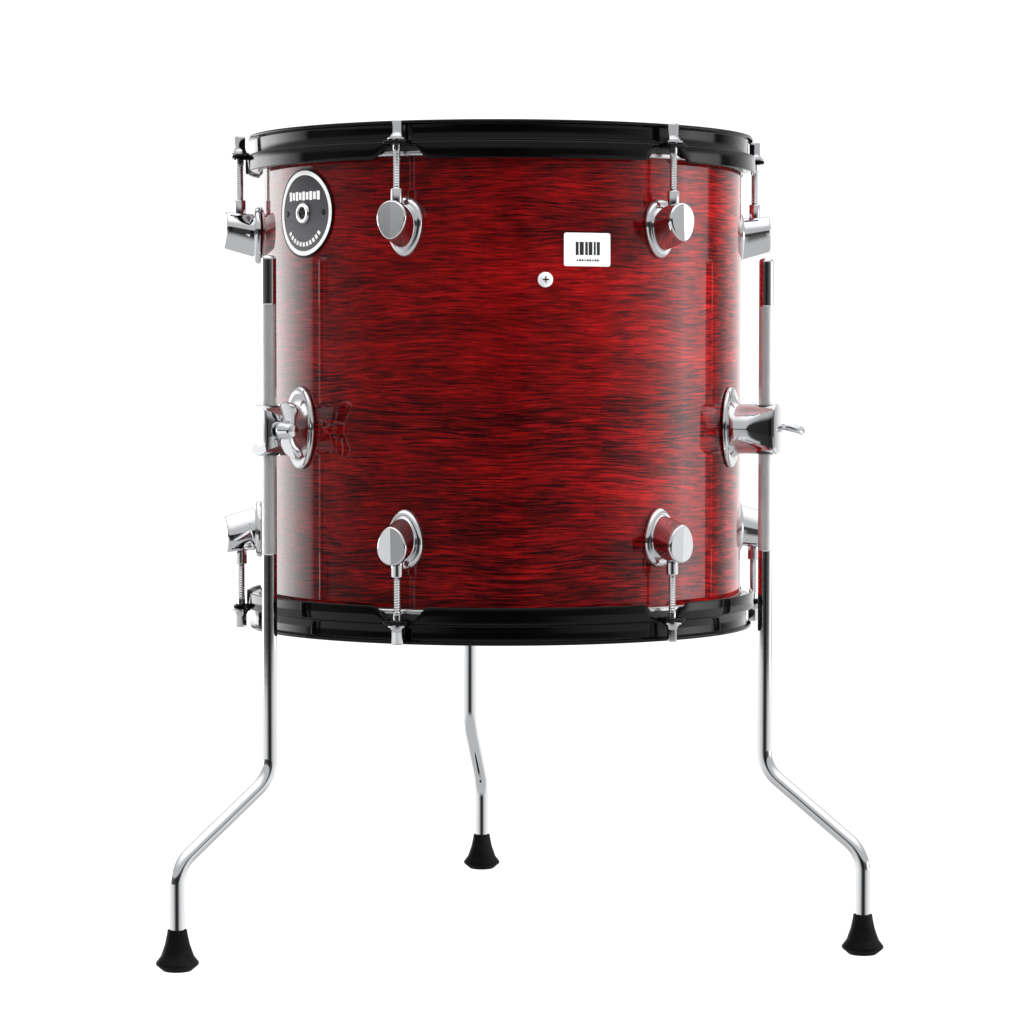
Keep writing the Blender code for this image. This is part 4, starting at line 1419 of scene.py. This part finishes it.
@dataclass
class Lugs:
    """Egg-shaped lugs: a rounded foot, a conical body, a roof-shaped face, a collar."""

    height: float = 514.4 * MM
    foot: Pair = (41.4 * MM, 27.5 * MM)
    root: Pair = (31.0 * MM, 20.6 * MM)
    face: Pair = (27.0 * MM, 21.5 * MM)
    face_height: float = 518.0 * MM
    face_radius: float = 203.8 * MM
    pitch_of_roof: float = 0.115
    lean: float = 0.045
    bluntness: float = 0.16
    collar: Pair = (4.15 * MM, 540.0 * MM)
    collar_foot: float = 521 * MM
    roof_depth: float = 1.4 * MM
    roof_facing: float = 0.985
    flank_steps: int = 6
    bore: Pair = (3.32 * MM, 503.8 * MM)
    points: int = 72

    def egg(self, size: Pair, radius: float, height: float, roof: float = 0.0) -> Ring:
        """Egg outline, its blunt end up, its sides set back by the roof's slope."""
        tall, wide = size
        ring = []
        for step in range(self.points):
            turn = math.tau * step / self.points
            side = wide / 2 * math.sin(turn) * (1 + self.bluntness * math.cos(turn))
            up = tall / 2 * math.cos(turn)
            back = radius - abs(side) * roof - up * self.lean * roof / self.pitch_of_roof
            ring.append((back, side, height + up))
        return ring

    def body(self, seat: float) -> Shape:
        """Foot, flank and roof-shaped face."""
        tall, wide = self.foot
        rings = []
        dome = ((0.05, 0.0), (0.0, 0.3), (0.0, 1.2), (0.04, 2.0), (0.13, 2.8), (0.27, 3.5), (0.44, 4.0))
        for share, out in dome + ((0.62, 4.3), (0.78, 4.35), (0.9, 4.4), (0.97, 4.6)):
            size = (tall + (self.root[0] - tall) * share, wide + (self.root[1] - wide) * share)
            rings.append(self.egg(size, seat + out * MM, self.height))
        start = seat + 5.2 * MM
        end = self.face_radius - 1.3 * MM
        slope = self.pitch_of_roof
        for step in range(self.flank_steps + 1):
            share = step / self.flank_steps
            size = tuple(a + (b - a) * share for a, b in zip(self.root, self.face))
            height = self.height + (self.face_height - self.height) * share
            rings.append(self.egg(size, start + (end - start) * share, height, slope * share))
        ridge = self.face_radius + 0.15 * MM
        for inset, back in ((0.5, 0.75), (1.3, 0.25), (2.3, 0.0)):
            size = (self.face[0] - inset * MM, self.face[1] - inset * MM)
            rings.append(self.egg(size, ridge - back * MM, self.face_height, slope))
        form = Shape.loft(rings)
        form.faces.pop()
        form.slots.pop()
        first = (len(rings) - 1) * self.points
        spine = len(form.points)
        half = self.points // 2
        for step in range(1, half):
            height = rings[-1][step][2]
            form.points.append((ridge - (height - self.face_height) * self.lean, 0.0, height))
        for step in range(half):
            ends = [first + step, first + step + 1]
            others = [first + (self.points - step) % self.points, first + self.points - step - 1]
            middle = [spine + step - 1, spine + step]
            if step == 0:
                form.faces += [(ends[0], ends[1], spine), (ends[0], spine, others[1])]
            elif step == half - 1:
                form.faces += [(ends[0], ends[1], middle[0]), (others[0], middle[0], ends[1])]
            else:
                form.faces.append((ends[0], ends[1], middle[1], middle[0]))
                form.faces.append((others[0], middle[0], middle[1], others[1]))
        form.slots = [0] * len(form.faces)
        return form

    def casting(self, datum: Datum) -> bpy.types.Mesh:
        """Lug with its collar, rod bore and fixing screw."""
        seat = datum.seat
        radius, top = self.collar
        tube = rounded(
            [
                (0.5 * MM, self.collar_foot, 0.0), (radius, self.collar_foot, 0.2 * MM),
                (radius, top, 0.7 * MM), (0.5 * MM, top, 0.0),
            ]
        )
        bore, bottom = self.bore
        drill = [(bore, bottom), (bore, top - 0.5 * MM), (bore + 1.2 * MM, top + 0.7 * MM)]
        screw = fixing_screw(datum.inside, seat + 1.5 * MM, self.height)
        data = carved(
            self.body(seat),
            [
                ("UNION", Shape.turned(tube, 40).shifted(ROD_CIRCLE)), ("UNION", screw),
                ("DIFFERENCE", Shape.turned(drill, 40).shifted(ROD_CIRCLE)),
            ],
            28.0,
        )
        for face in data.polygons:
            outer = face.center.x > self.face_radius - self.roof_depth
            face.use_smooth = not (outer and face.normal.x > self.roof_facing)
        return data

    def build(self, shop: Workshop) -> None:
        """Build twelve lugs from one casting."""
        upper = self.casting(shop.datum)
        lower = upper.copy()
        lower.transform(shop.datum.flip)
        shop.stand_round("lug", "lug_casting", (upper, lower), Finish.LUG, "drum")


@dataclass
class LegFittings:
    """Brackets with bushes and screws, and the wing bolts that clamp the legs."""

    height: float = 374.0 * MM
    base_height: float = 375.2 * MM
    base: Pair = (58.4 * MM, 33.0 * MM)
    base_thick: float = 3.4 * MM
    arm: float = 18.0 * MM
    arm_half: Pair = (15.5 * MM, 9.7 * MM)
    arm_end: float = 214.6 * MM
    fillet: float = 5.5 * MM
    flat_start: float = 0.42
    crown: float = 1.0 * MM
    screw_offset: float = 12.5 * MM
    screw_hole: float = 2.9 * MM
    bolt_hole: float = 4.6 * MM
    bush: Pair = (5.75 * MM, 7.0 * MM)
    tilts: tuple[float, float, float] = (105.0, 9.0, 35.0)
    wing_half: float = 2.2 * MM
    wing_bow: float = 3.0 * MM
    wing_reach: float = 20.5 * MM

    def arm_ring(self, half: float, radius: float, trim: float = 0.0) -> Ring:
        """Arm section: oval, with a flat on each side where it is cut narrower."""
        tall = self.arm - trim
        wide = self.arm_half[0]
        start = math.asin(min(half / wide, 0.9995))
        arc, flat = 24, 8
        ring = []
        for sign in (1, -1):
            for step in range(arc + 1):
                turn = (-start + 2 * start * step / arc) * sign
                ring.append((radius, wide * math.sin(turn), self.height + sign * tall * math.cos(turn)))
            edge = tall * math.cos(start)
            for step in range(1, flat):
                share = 1 - 2 * step / flat
                out = wide * math.sin(start) + self.crown * (1 - share * share) * edge / self.arm
                ring.append((radius, sign * out, self.height + sign * edge * share))
        return ring

    def oval(self, radius: float, inset: float, blend: float = 0.0) -> Ring:
        """Base outline, in step with the arm's points, drawn towards them by a blend."""
        ring = []
        for _, side, height in self.arm_ring(self.arm_half[0], 0.0):
            turn = math.atan2(side / self.arm_half[0], (height - self.height) / self.arm)
            across = (self.base[1] / 2 - inset) * math.sin(turn)
            up = self.base_height + (self.base[0] / 2 - inset) * math.cos(turn)
            ring.append((radius, across + (side - across) * blend, up + (height - up) * blend))
        return ring

    def bracket(self, datum: Datum) -> bpy.types.Mesh:
        """Casting with holes for the bush, the bolt and two screws."""
        seat = datum.seat
        face = seat + self.base_thick
        root, end = self.arm_half
        edge = ((0.3, 0.0), (0.0, 0.4), (0.0, 1.5), (0.25, 2.2), (0.8, 2.8), (1.6, 3.2))
        rings = [self.oval(seat + out * MM, inset * MM) for inset, out in edge]
        for step in range(9):
            turn = math.radians(90 * step / 8)
            rings.append(self.oval(face + self.fillet * (1 - math.cos(turn)), 2.4 * MM, math.sin(turn)))
        knee = face + (self.arm_end - face) * self.flat_start
        rings.append(self.arm_ring(root, knee))
        for step in range(1, 9):
            share = step / 9
            half = root + (end + 0.2 * MM - root) * share
            rings.append(self.arm_ring(half, knee + (self.arm_end - knee) * share))
        rings.append(self.arm_ring(end + 0.2 * MM, self.arm_end - 1.2 * MM))
        rings.append(self.arm_ring(end - 0.1 * MM, self.arm_end - 0.5 * MM, 0.25 * MM))
        rings.append(self.arm_ring(end - 0.5 * MM, self.arm_end - 0.12 * MM, 0.6 * MM))
        rings.append(self.arm_ring(end - 1.1 * MM, self.arm_end, 1.2 * MM))
        bush = self.bush[1] + 0.5 * MM
        low, high = self.height - self.arm - 5 * MM, self.height + self.arm + 5 * MM
        bore = Shape.turned([(bush, low), (bush, high)], 56).shifted(LEG_CIRCLE)
        bolt = Shape.turned([(self.bolt_hole, 3 * MM), (self.bolt_hole, 25 * MM)], 32).along_y()
        steps = [("DIFFERENCE", bore), ("DIFFERENCE", bolt.shifted(LEG_CIRCLE, self.height))]
        for offset in (-self.screw_offset, self.screw_offset):
            hole = Shape.turned([(self.screw_hole, seat - 5 * MM), (self.screw_hole, seat + 13 * MM)], 24)
            steps.append(("DIFFERENCE", hole.along_x(self.height + offset)))
        return carved(Shape.loft(rings), steps, 28.0)

    def bush_sleeve(self) -> Shape:
        """Plain nylon sleeve, its rim just under the top of the arm."""
        bore, outer = self.bush
        low = self.height - self.arm + 0.4 * MM
        rim = self.height + self.arm - 0.9 * MM
        profile = rounded(
            [(bore, low, 0.3 * MM), (outer, low, 0.4 * MM), (outer, rim, 0.4 * MM), (bore, rim, 0.3 * MM)],
            3,
            True,
        )
        return Shape.turned(profile, 56, True).shifted(LEG_CIRCLE)

    def wing_outline(self, inset: float) -> list[Pair]:
        """Butterfly outline of the two wings, smoothed, drawn in by an inset."""
        half = [(3.6, 17.6), (9.0, 17.4), (16.0, 19.6), (20.0, 24.6), (20.5, 31.0)]
        half += [(18.0, 35.4), (13.0, 35.6), (8.5, 32.0), (3.5, 29.8)]
        corners = half + [(-reach, along) for reach, along in reversed(half)]
        count = len(corners)
        outline: list[Vector] = []
        for index in range(count):
            a, b, c, d = (Vector(corners[(index + shift) % count]) for shift in (-1, 0, 1, 2))
            for step in range(4):
                t = step / 4
                square, cube = 2 * a - 5 * b + 4 * c - d, 3 * b - a - 3 * c + d
                outline.append(0.5 * (2 * b + (c - a) * t + square * t**2 + cube * t**3))
        drawn = []
        for index, point in enumerate(outline):
            along = outline[(index + 1) % len(outline)] - outline[index - 1]
            across = Vector((-along.y, along.x)).normalized()
            drawn.append(tuple((point + across * (inset / MM)) * MM))
        return drawn

    def wing_bolt(self, tilt: float) -> bpy.types.Mesh:
        """Screw, hub and wings, tilted about the bolt's own axis."""
        profile = rounded(
            [
                (0.5 * MM, 7.4 * MM, 0.0), (3.2 * MM, 7.4 * MM, 0.5 * MM), (4.0 * MM, 8.4 * MM, 0.5 * MM),
                (4.0 * MM, 16.5 * MM, 0.2 * MM), (6.2 * MM, 16.5 * MM, 0.5 * MM),
                (6.6 * MM, 19.5 * MM, 2.0 * MM), (5.4 * MM, 29.0 * MM, 1.5 * MM),
                (4.2 * MM, 30.0 * MM, 1.2 * MM), (0.5 * MM, 30.4 * MM, 0.0),
            ],
            4,
        )
        hub = Shape.turned(profile, 48).along_y()
        rings = []
        upper = ((0.0, 0.0), (0.2, 0.6), (0.75, 0.9), (1.5, 1.0))
        for inset, level in [(inset, -level) for inset, level in reversed(upper[1:])] + list(upper):
            ring = []
            for x, along in self.wing_outline(inset * MM):
                bow = self.wing_bow * math.sin(math.pi * x / self.wing_reach)
                ring.append((x, along, level * self.wing_half + bow))
            rings.append(ring)
        data = carved(hub, [("UNION", Shape.loft(rings))], 40.0)
        data.transform(
            Matrix.Translation((LEG_CIRCLE, 0.0, self.height)) @ Matrix.Rotation(math.radians(tilt), 4, "Y")
        )
        return data

    def build(self, shop: Workshop) -> None:
        """Build three sets of fittings."""
        casting = self.bracket(shop.datum)
        sleeve = self.bush_sleeve().mesh("sleeve")
        for number, angle in enumerate(LEG_ANGLES, 1):
            bolt = self.wing_bolt(self.tilts[number - 1])
            for piece, form, finish, body, node in (
                ("bracket_casting", casting, Finish.BRACKET, "drum", f"leg_bracket_{number}"),
                ("bush_sleeve", sleeve, Finish.NYLON, f"leg_bush_{number}", f"leg_bush_{number}"),
                ("wing_screw", bolt, Finish.BRACKET, f"wing_bolt_{number}", f"wing_bolt_{number}"),
            ):
                shop.stand(f"{piece}_{number}", form, (finish,), body, angle, (node,))
            for letter, offset in (("a", self.screw_offset), ("b", -self.screw_offset)):
                screw = fixing_screw(shop.datum.inside, shop.datum.seat + 12.0 * MM, self.height + offset)
                node = f"bracket_screw_{number}{letter}"
                shop.stand(f"fixing_screw_{number}{letter}", screw, (Finish.ZINC,), "drum", angle, (node,))


@dataclass
class Legs:
    """Bent steel legs with a knurled grip length, and their flared rubber feet."""

    radius: float = 5.25 * MM
    top: float = 496.2 * MM
    tip: float = 6.4 * MM
    bend_radius: float = 27.0 * MM
    bend: float = 52.0
    bend_steps: int = 18
    upper_bend: float = 143.0 * MM
    lower_bend: float = 59.0 * MM
    knurl: Pair = (287.0 * MM, 462.0 * MM)
    tip_round: float = 2.6 * MM
    knurl_step: float = 0.55 * MM
    knurl_depth: float = 0.15 * MM
    sharp: float = 9.0
    around: int = 60

    def offset(self) -> float:
        """How far the foot stands out from the leg's upright length."""
        lean = math.radians(self.bend)
        straight = self.upper_bend - self.lower_bend - 2 * self.bend_radius * math.sin(lean)
        return 2 * self.bend_radius * (1 - math.cos(lean)) + straight * math.tan(lean)

    def path(self) -> list[tuple[float, float, float, float, int]]:
        """Stations down the leg: reach, height, lean, radius, knurl phase (0 = plain)."""
        stations = []
        for step in range(9):
            turn = math.radians(90 * step / 8)
            reach = self.radius - self.tip_round * (1 - math.sin(turn))
            stations.append((0.0, self.top - self.tip_round * (1 - math.cos(turn)), 0.0, reach, 0))
        low, high = self.knurl
        groove = self.radius - self.knurl_depth
        above = ((self.top - self.tip_round - 0.6 * MM, self.radius), (high + 1.2 * MM, self.radius))
        above += ((high + 0.5 * MM, self.radius), (high + 0.1 * MM, groove))
        below = ((low - 0.1 * MM, groove), (low - 0.5 * MM, self.radius), (low - 1.2 * MM, self.radius))
        stations += [(0.0, height, 0.0, reach, 0) for height, reach in above]
        count = int((high - low) / self.knurl_step)
        for step in range(count):
            stations.append((0.0, high - (high - low) * step / count, 0.0, self.radius, 1 + step % 4))
        stations += [(0.0, height, 0.0, reach, 0) for height, reach in below]
        steps = self.bend_steps
        for step in range(steps + 1):
            lean = math.radians(self.bend * step / steps)
            out = self.bend_radius * (1 - math.cos(lean))
            stations.append((out, self.upper_bend - self.bend_radius * math.sin(lean), lean, self.radius, 0))
        for step in range(steps, -1, -1):
            lean = math.radians(self.bend * step / steps)
            out = self.offset() - self.bend_radius * (1 - math.cos(lean))
            stations.append((out, self.lower_bend + self.bend_radius * math.sin(lean), lean, self.radius, 0))
        stations.append((self.offset(), self.tip, 0.0, self.radius, 0))
        return stations

    def leg(self, swivel: float) -> Shape:
        """Round rod swept down the path, chequered where it is knurled, its foot swung by the swivel."""
        rings = []
        for reach, height, lean, radius, phase in self.path():
            ring = []
            for step in range(self.around):
                turn = math.tau * step / self.around
                raised = (step + (phase - 1) // 2) % 2 == 0
                wide = radius - (0.0 if raised or not phase else self.knurl_depth)
                out = reach + wide * math.cos(turn) * math.cos(lean)
                ring.append((out, wide * math.sin(turn), height + wide * math.cos(turn) * math.sin(lean)))
            rings.append(ring)
        form = Shape.loft(rings).moved(self.swing(swivel))
        phases = [station[4] for station in self.path()]
        grip = [int(bool(phase)) for phase in phases[:-1] for _ in range(self.around)]
        form.slots = grip + [0] * (len(form.faces) - len(grip))
        return form

    def swing(self, swivel: float) -> Matrix:
        """Move from the leg's own upright axis to its place, turned by the swivel."""
        return Matrix.Translation((LEG_CIRCLE, 0.0, 0.0)) @ Matrix.Rotation(math.radians(swivel), 4, "Z")

    def foot(self, swivel: float) -> Shape:
        """Flared rubber foot with a blind bore."""
        profile = rounded(
            [
                (0.6 * MM, 0.0, 0.0), (9.8 * MM, 0.0, 1.2 * MM), (14.9 * MM, 4.4 * MM, 1.4 * MM),
                (14.9 * MM, 5.8 * MM, 0.7 * MM), (11.5 * MM, 10.2 * MM, 6.0 * MM),
                (8.6 * MM, 18.5 * MM, 20.0 * MM), (7.0 * MM, 26.3 * MM, 1.0 * MM),
                (6.8 * MM, 28.5 * MM, 0.6 * MM), (5.75 * MM, 28.5 * MM, 0.3 * MM),
                (5.75 * MM, 6.0 * MM, 0.3 * MM), (0.6 * MM, 6.0 * MM, 0.0),
            ],
            5,
        )
        place = self.swing(swivel) @ Matrix.Translation((self.offset(), 0.0, 0.0))
        return Shape.turned(profile, 64).moved(place)

    def build(self, shop: Workshop) -> None:
        """Build three legs and feet."""
        for number, angle in enumerate(LEG_ANGLES, 1):
            swivel = LEG_SWIVELS[number - 1]
            body = f"leg_unit_{number}"
            metals = (Finish.LEG, Finish.KNURL)
            rod, foot = self.leg(swivel), self.foot(swivel)
            shop.stand(f"leg_rod_{number}", rod, metals, body, angle, (f"leg_{number}",), self.sharp)
            shop.stand(f"rubber_foot_{number}", foot, (Finish.RUBBER,), body, angle, (f"foot_{number}",))


# ---------------------------------------------------------------- studio


@dataclass(frozen=True)
class Softbox:
    """Flat lamp at an angle round the drum, facing the drum's middle."""

    name: str
    angle: float
    distance: float
    height: float
    size: Pair
    power: float

    def build(self, target: Vector) -> None:
        """Add the lamp, aimed at a target."""
        lamp = bpy.data.lights.new(self.name, "AREA")
        lamp.shape = "RECTANGLE"
        lamp.size, lamp.size_y = self.size
        lamp.energy = self.power
        thing = linked(self.name, lamp)
        turn = math.radians(self.angle)
        spot = Vector((math.sin(turn), -math.cos(turn), 0.0)) * self.distance
        thing.location = Vector((target.x, target.y, self.height)) + spot
        thing.rotation_euler = (thing.location - target).to_track_quat("Z", "Y").to_euler()
        thing.visible_camera = False
        thing.visible_glossy = False


@dataclass
class Studio:
    """White room: pale floor, soft lamps, a banded surround for gloss to reflect, and the camera."""

    azimuth: float = -7.8908
    distance: float = 2.2949
    height: float = 0.4148
    yaw: float = -0.2154
    pitch: float = -2.5931
    roll: float = 0.0398
    lens: float = 108.66
    ambient: float = 0.80
    ceiling: float = 0.52
    zenith: float = 0.75
    below: float = 0.52
    brightest: float = 4.0
    white: float = 1.2
    sky_zone: Pair = (0.084, 0.17)
    zenith_zone: Pair = (0.40, 0.85)
    low_zone: Pair = (-0.083, -0.093)
    deep_zone: Pair = (-0.25, -0.60)
    # Angle round the drum from the camera's bearing, and how bright gloss sees the surround there.
    walls: tuple[Pair, ...] = (
        (-180.0, 1.1), (-150.0, 2.6), (-128.0, 4.0), (-117.0, 3.2), (-106.0, 1.7), (-100.5, 1.0),
        (-99.0, 0.12), (-85.0, 0.20), (-60.0, 0.07), (-35.0, 0.05), (0.0, 0.01), (11.0, 0.008),
        (13.0, 0.04), (47.0, 0.10), (69.0, 0.50), (80.0, 1.1), (96.0, 2.7), (110.0, 1.5), (114.5, 1.2),
        (116.0, 0.05), (121.0, 0.05), (128.0, 0.30), (144.0, 0.9), (159.0, 1.3), (180.0, 1.1),
    )
    low_walls: tuple[Pair, ...] = (
        (-180.0, 0.9), (-110.0, 1.0), (-52.0, 0.66), (-33.0, 0.34), (-19.0, 0.06), (-8.0, 0.025),
        (8.0, 0.02), (19.0, 0.06), (33.0, 0.36), (52.0, 0.66), (110.0, 1.0), (180.0, 0.9),
    )
    floor_radius: float = 1.6
    lamps: tuple[Softbox, ...] = (
        Softbox("key", -35.0, 3.0, 2.4, (1.6, 1.2), 46.0),
        Softbox("fill", 60.0, 3.0, 1.6, (1.6, 1.6), 20.0),
        Softbox("side_fill", 88.0, 3.0, 1.1, (1.2, 1.8), 300.0),
        Softbox("back_fill", 178.0, 2.6, 1.7, (2.4, 1.6), 36.0),
    )

    def camera(self, datum: Datum) -> None:
        """Stand the camera in front and make it the scene's."""
        bearing = math.radians(self.azimuth)
        place = Vector((math.sin(bearing) * self.distance, -math.cos(bearing) * self.distance, self.height))
        heading = math.radians(self.azimuth + self.yaw)
        dip = math.radians(self.pitch)
        ahead = Vector((-math.sin(heading) * math.cos(dip), math.cos(heading) * math.cos(dip), math.sin(dip)))
        right = ahead.cross(Vector((0.0, 0.0, 1.0))).normalized()
        up = right.cross(ahead)
        basis = Matrix((right, up, -ahead)).transposed().to_4x4()
        lens = bpy.data.cameras.new("camera")
        lens.lens = self.lens
        lens.sensor_width = 36.0
        lens.clip_end = 60.0
        thing = linked("camera", lens)
        turn = Matrix.Rotation(math.radians(self.roll), 4, "Z")
        thing.matrix_world = Matrix.Translation(place + datum.axis) @ basis @ turn
        bpy.context.scene.camera = thing

    def room(self) -> None:
        """White surroundings: bright where seen directly, dimmer and banded in gloss."""
        world = bpy.data.worlds.new("studio")
        bpy.context.scene.world = world
        world.use_nodes = True
        tree = world.node_tree
        tree.nodes.clear()
        bench = Bench(tree)
        x, y, z = bench.split(bench.place("Generated"))
        bearing = math.radians(self.azimuth)
        ahead = x * math.sin(bearing) - y * math.cos(bearing)
        aside = x * math.cos(bearing) + y * math.sin(bearing)
        turn = aside.angle_with(ahead) / math.tau + 0.5
        stops = [((angle + 180) / 360, (level / self.brightest,) * 3) for angle, level in self.walls]
        walls = Signal(bench, bench.ramp(turn, stops)) * self.brightest
        low_stops = [((angle + 180) / 360, (level,) * 3) for angle, level in self.low_walls]
        low = Signal(bench, bench.ramp(turn, low_stops))
        deep = z.step(*self.deep_zone)
        under = low + (self.below - low) * deep
        sky = z.step(*self.zenith_zone) * self.zenith + self.ceiling
        glossy = walls + (sky - walls) * z.step(*self.sky_zone)
        glossy = glossy + (under - glossy) * z.step(*self.low_zone)
        path = bench.add("ShaderNodeLightPath")
        direct = Signal(bench, path.outputs["Is Camera Ray"])
        matt = Signal(bench, path.outputs["Is Diffuse Ray"])
        level = direct * self.white + (1.0 - direct) * (matt * self.ambient + (1.0 - matt) * glossy)
        light = bench.add("ShaderNodeBackground", None, {0: (1.0, 1.0, 1.0, 1.0), 1: level})
        bench.add("ShaderNodeOutputWorld", None, {0: light.outputs[0]})

    def floor(self) -> None:
        """Wide pale floor, white where it is seen and clear from underneath."""
        s = Surface("floor_paint")
        mottle = s.noise(s.place(), 3.0, 3.0, 0.6)
        paint = s.dress(
            Base_Color=s.mixed(mottle * 0.2, (0.70, 0.70, 0.70), (0.64, 0.64, 0.64)),
            Roughness=0.9,
            Specular_IOR_Level=0.1,
        )
        glow = s.add("ShaderNodeEmission", None, {0: (1.0, 1.0, 1.0, 1.0), 1: self.white})
        direct = s.add("ShaderNodeLightPath").outputs["Is Camera Ray"]
        seen = s.add("ShaderNodeMixShader", None, {0: direct, 1: s.shader.outputs[0], 2: glow.outputs[0]})
        facing = s.split(s.add("ShaderNodeNewGeometry").outputs["True Normal"])[2]
        clear = s.add("ShaderNodeBsdfTransparent")
        blend = s.add(
            "ShaderNodeMixShader", None, {0: facing.step(-0.5, -0.6), 1: seen.outputs[0], 2: clear.outputs[0]}
        )
        s.feed(s.tree.nodes["Material Output"].inputs["Surface"], blend.outputs[0])
        edge = self.floor_radius
        profile = [(0.01, -20 * MM), (edge, -20 * MM), (edge, -0.2 * MM), (0.01, -0.2 * MM)]
        data = Shape.turned(profile, 96).mesh("studio_floor")
        data.materials.append(paint)
        thing = linked("studio_floor", data)
        thing.visible_glossy = False

    def build(self, datum: Datum) -> None:
        """Build the whole studio."""
        scene = bpy.context.scene
        scene.view_settings.view_transform = "Standard"
        self.camera(datum)
        self.room()
        self.floor()
        target = datum.axis + Vector((0.0, 0.0, datum.middle))
        for lamp in self.lamps:
            lamp.build(target)
        LOG.info("studio with %d lamps", len(self.lamps))


def main() -> None:
    """Build the studio and every sub-assembly, then write the two boxes."""
    logging.basicConfig(level=logging.INFO, format="%(name)s: %(message)s")
    datum = Datum.read()
    Studio().build(datum)
    shop = Workshop(datum)
    for kind in (WoodShell, Badge, SmallFittings, RimAssembly, TensionRods, Lugs, LegFittings, Legs):
        kind().build(shop)
        LOG.info("%s done", kind.__name__)
    bpy.context.view_layer.update()
    LOG.info("%d pieces in place", shop.pieces)


if __name__ == "__main__":
    main()
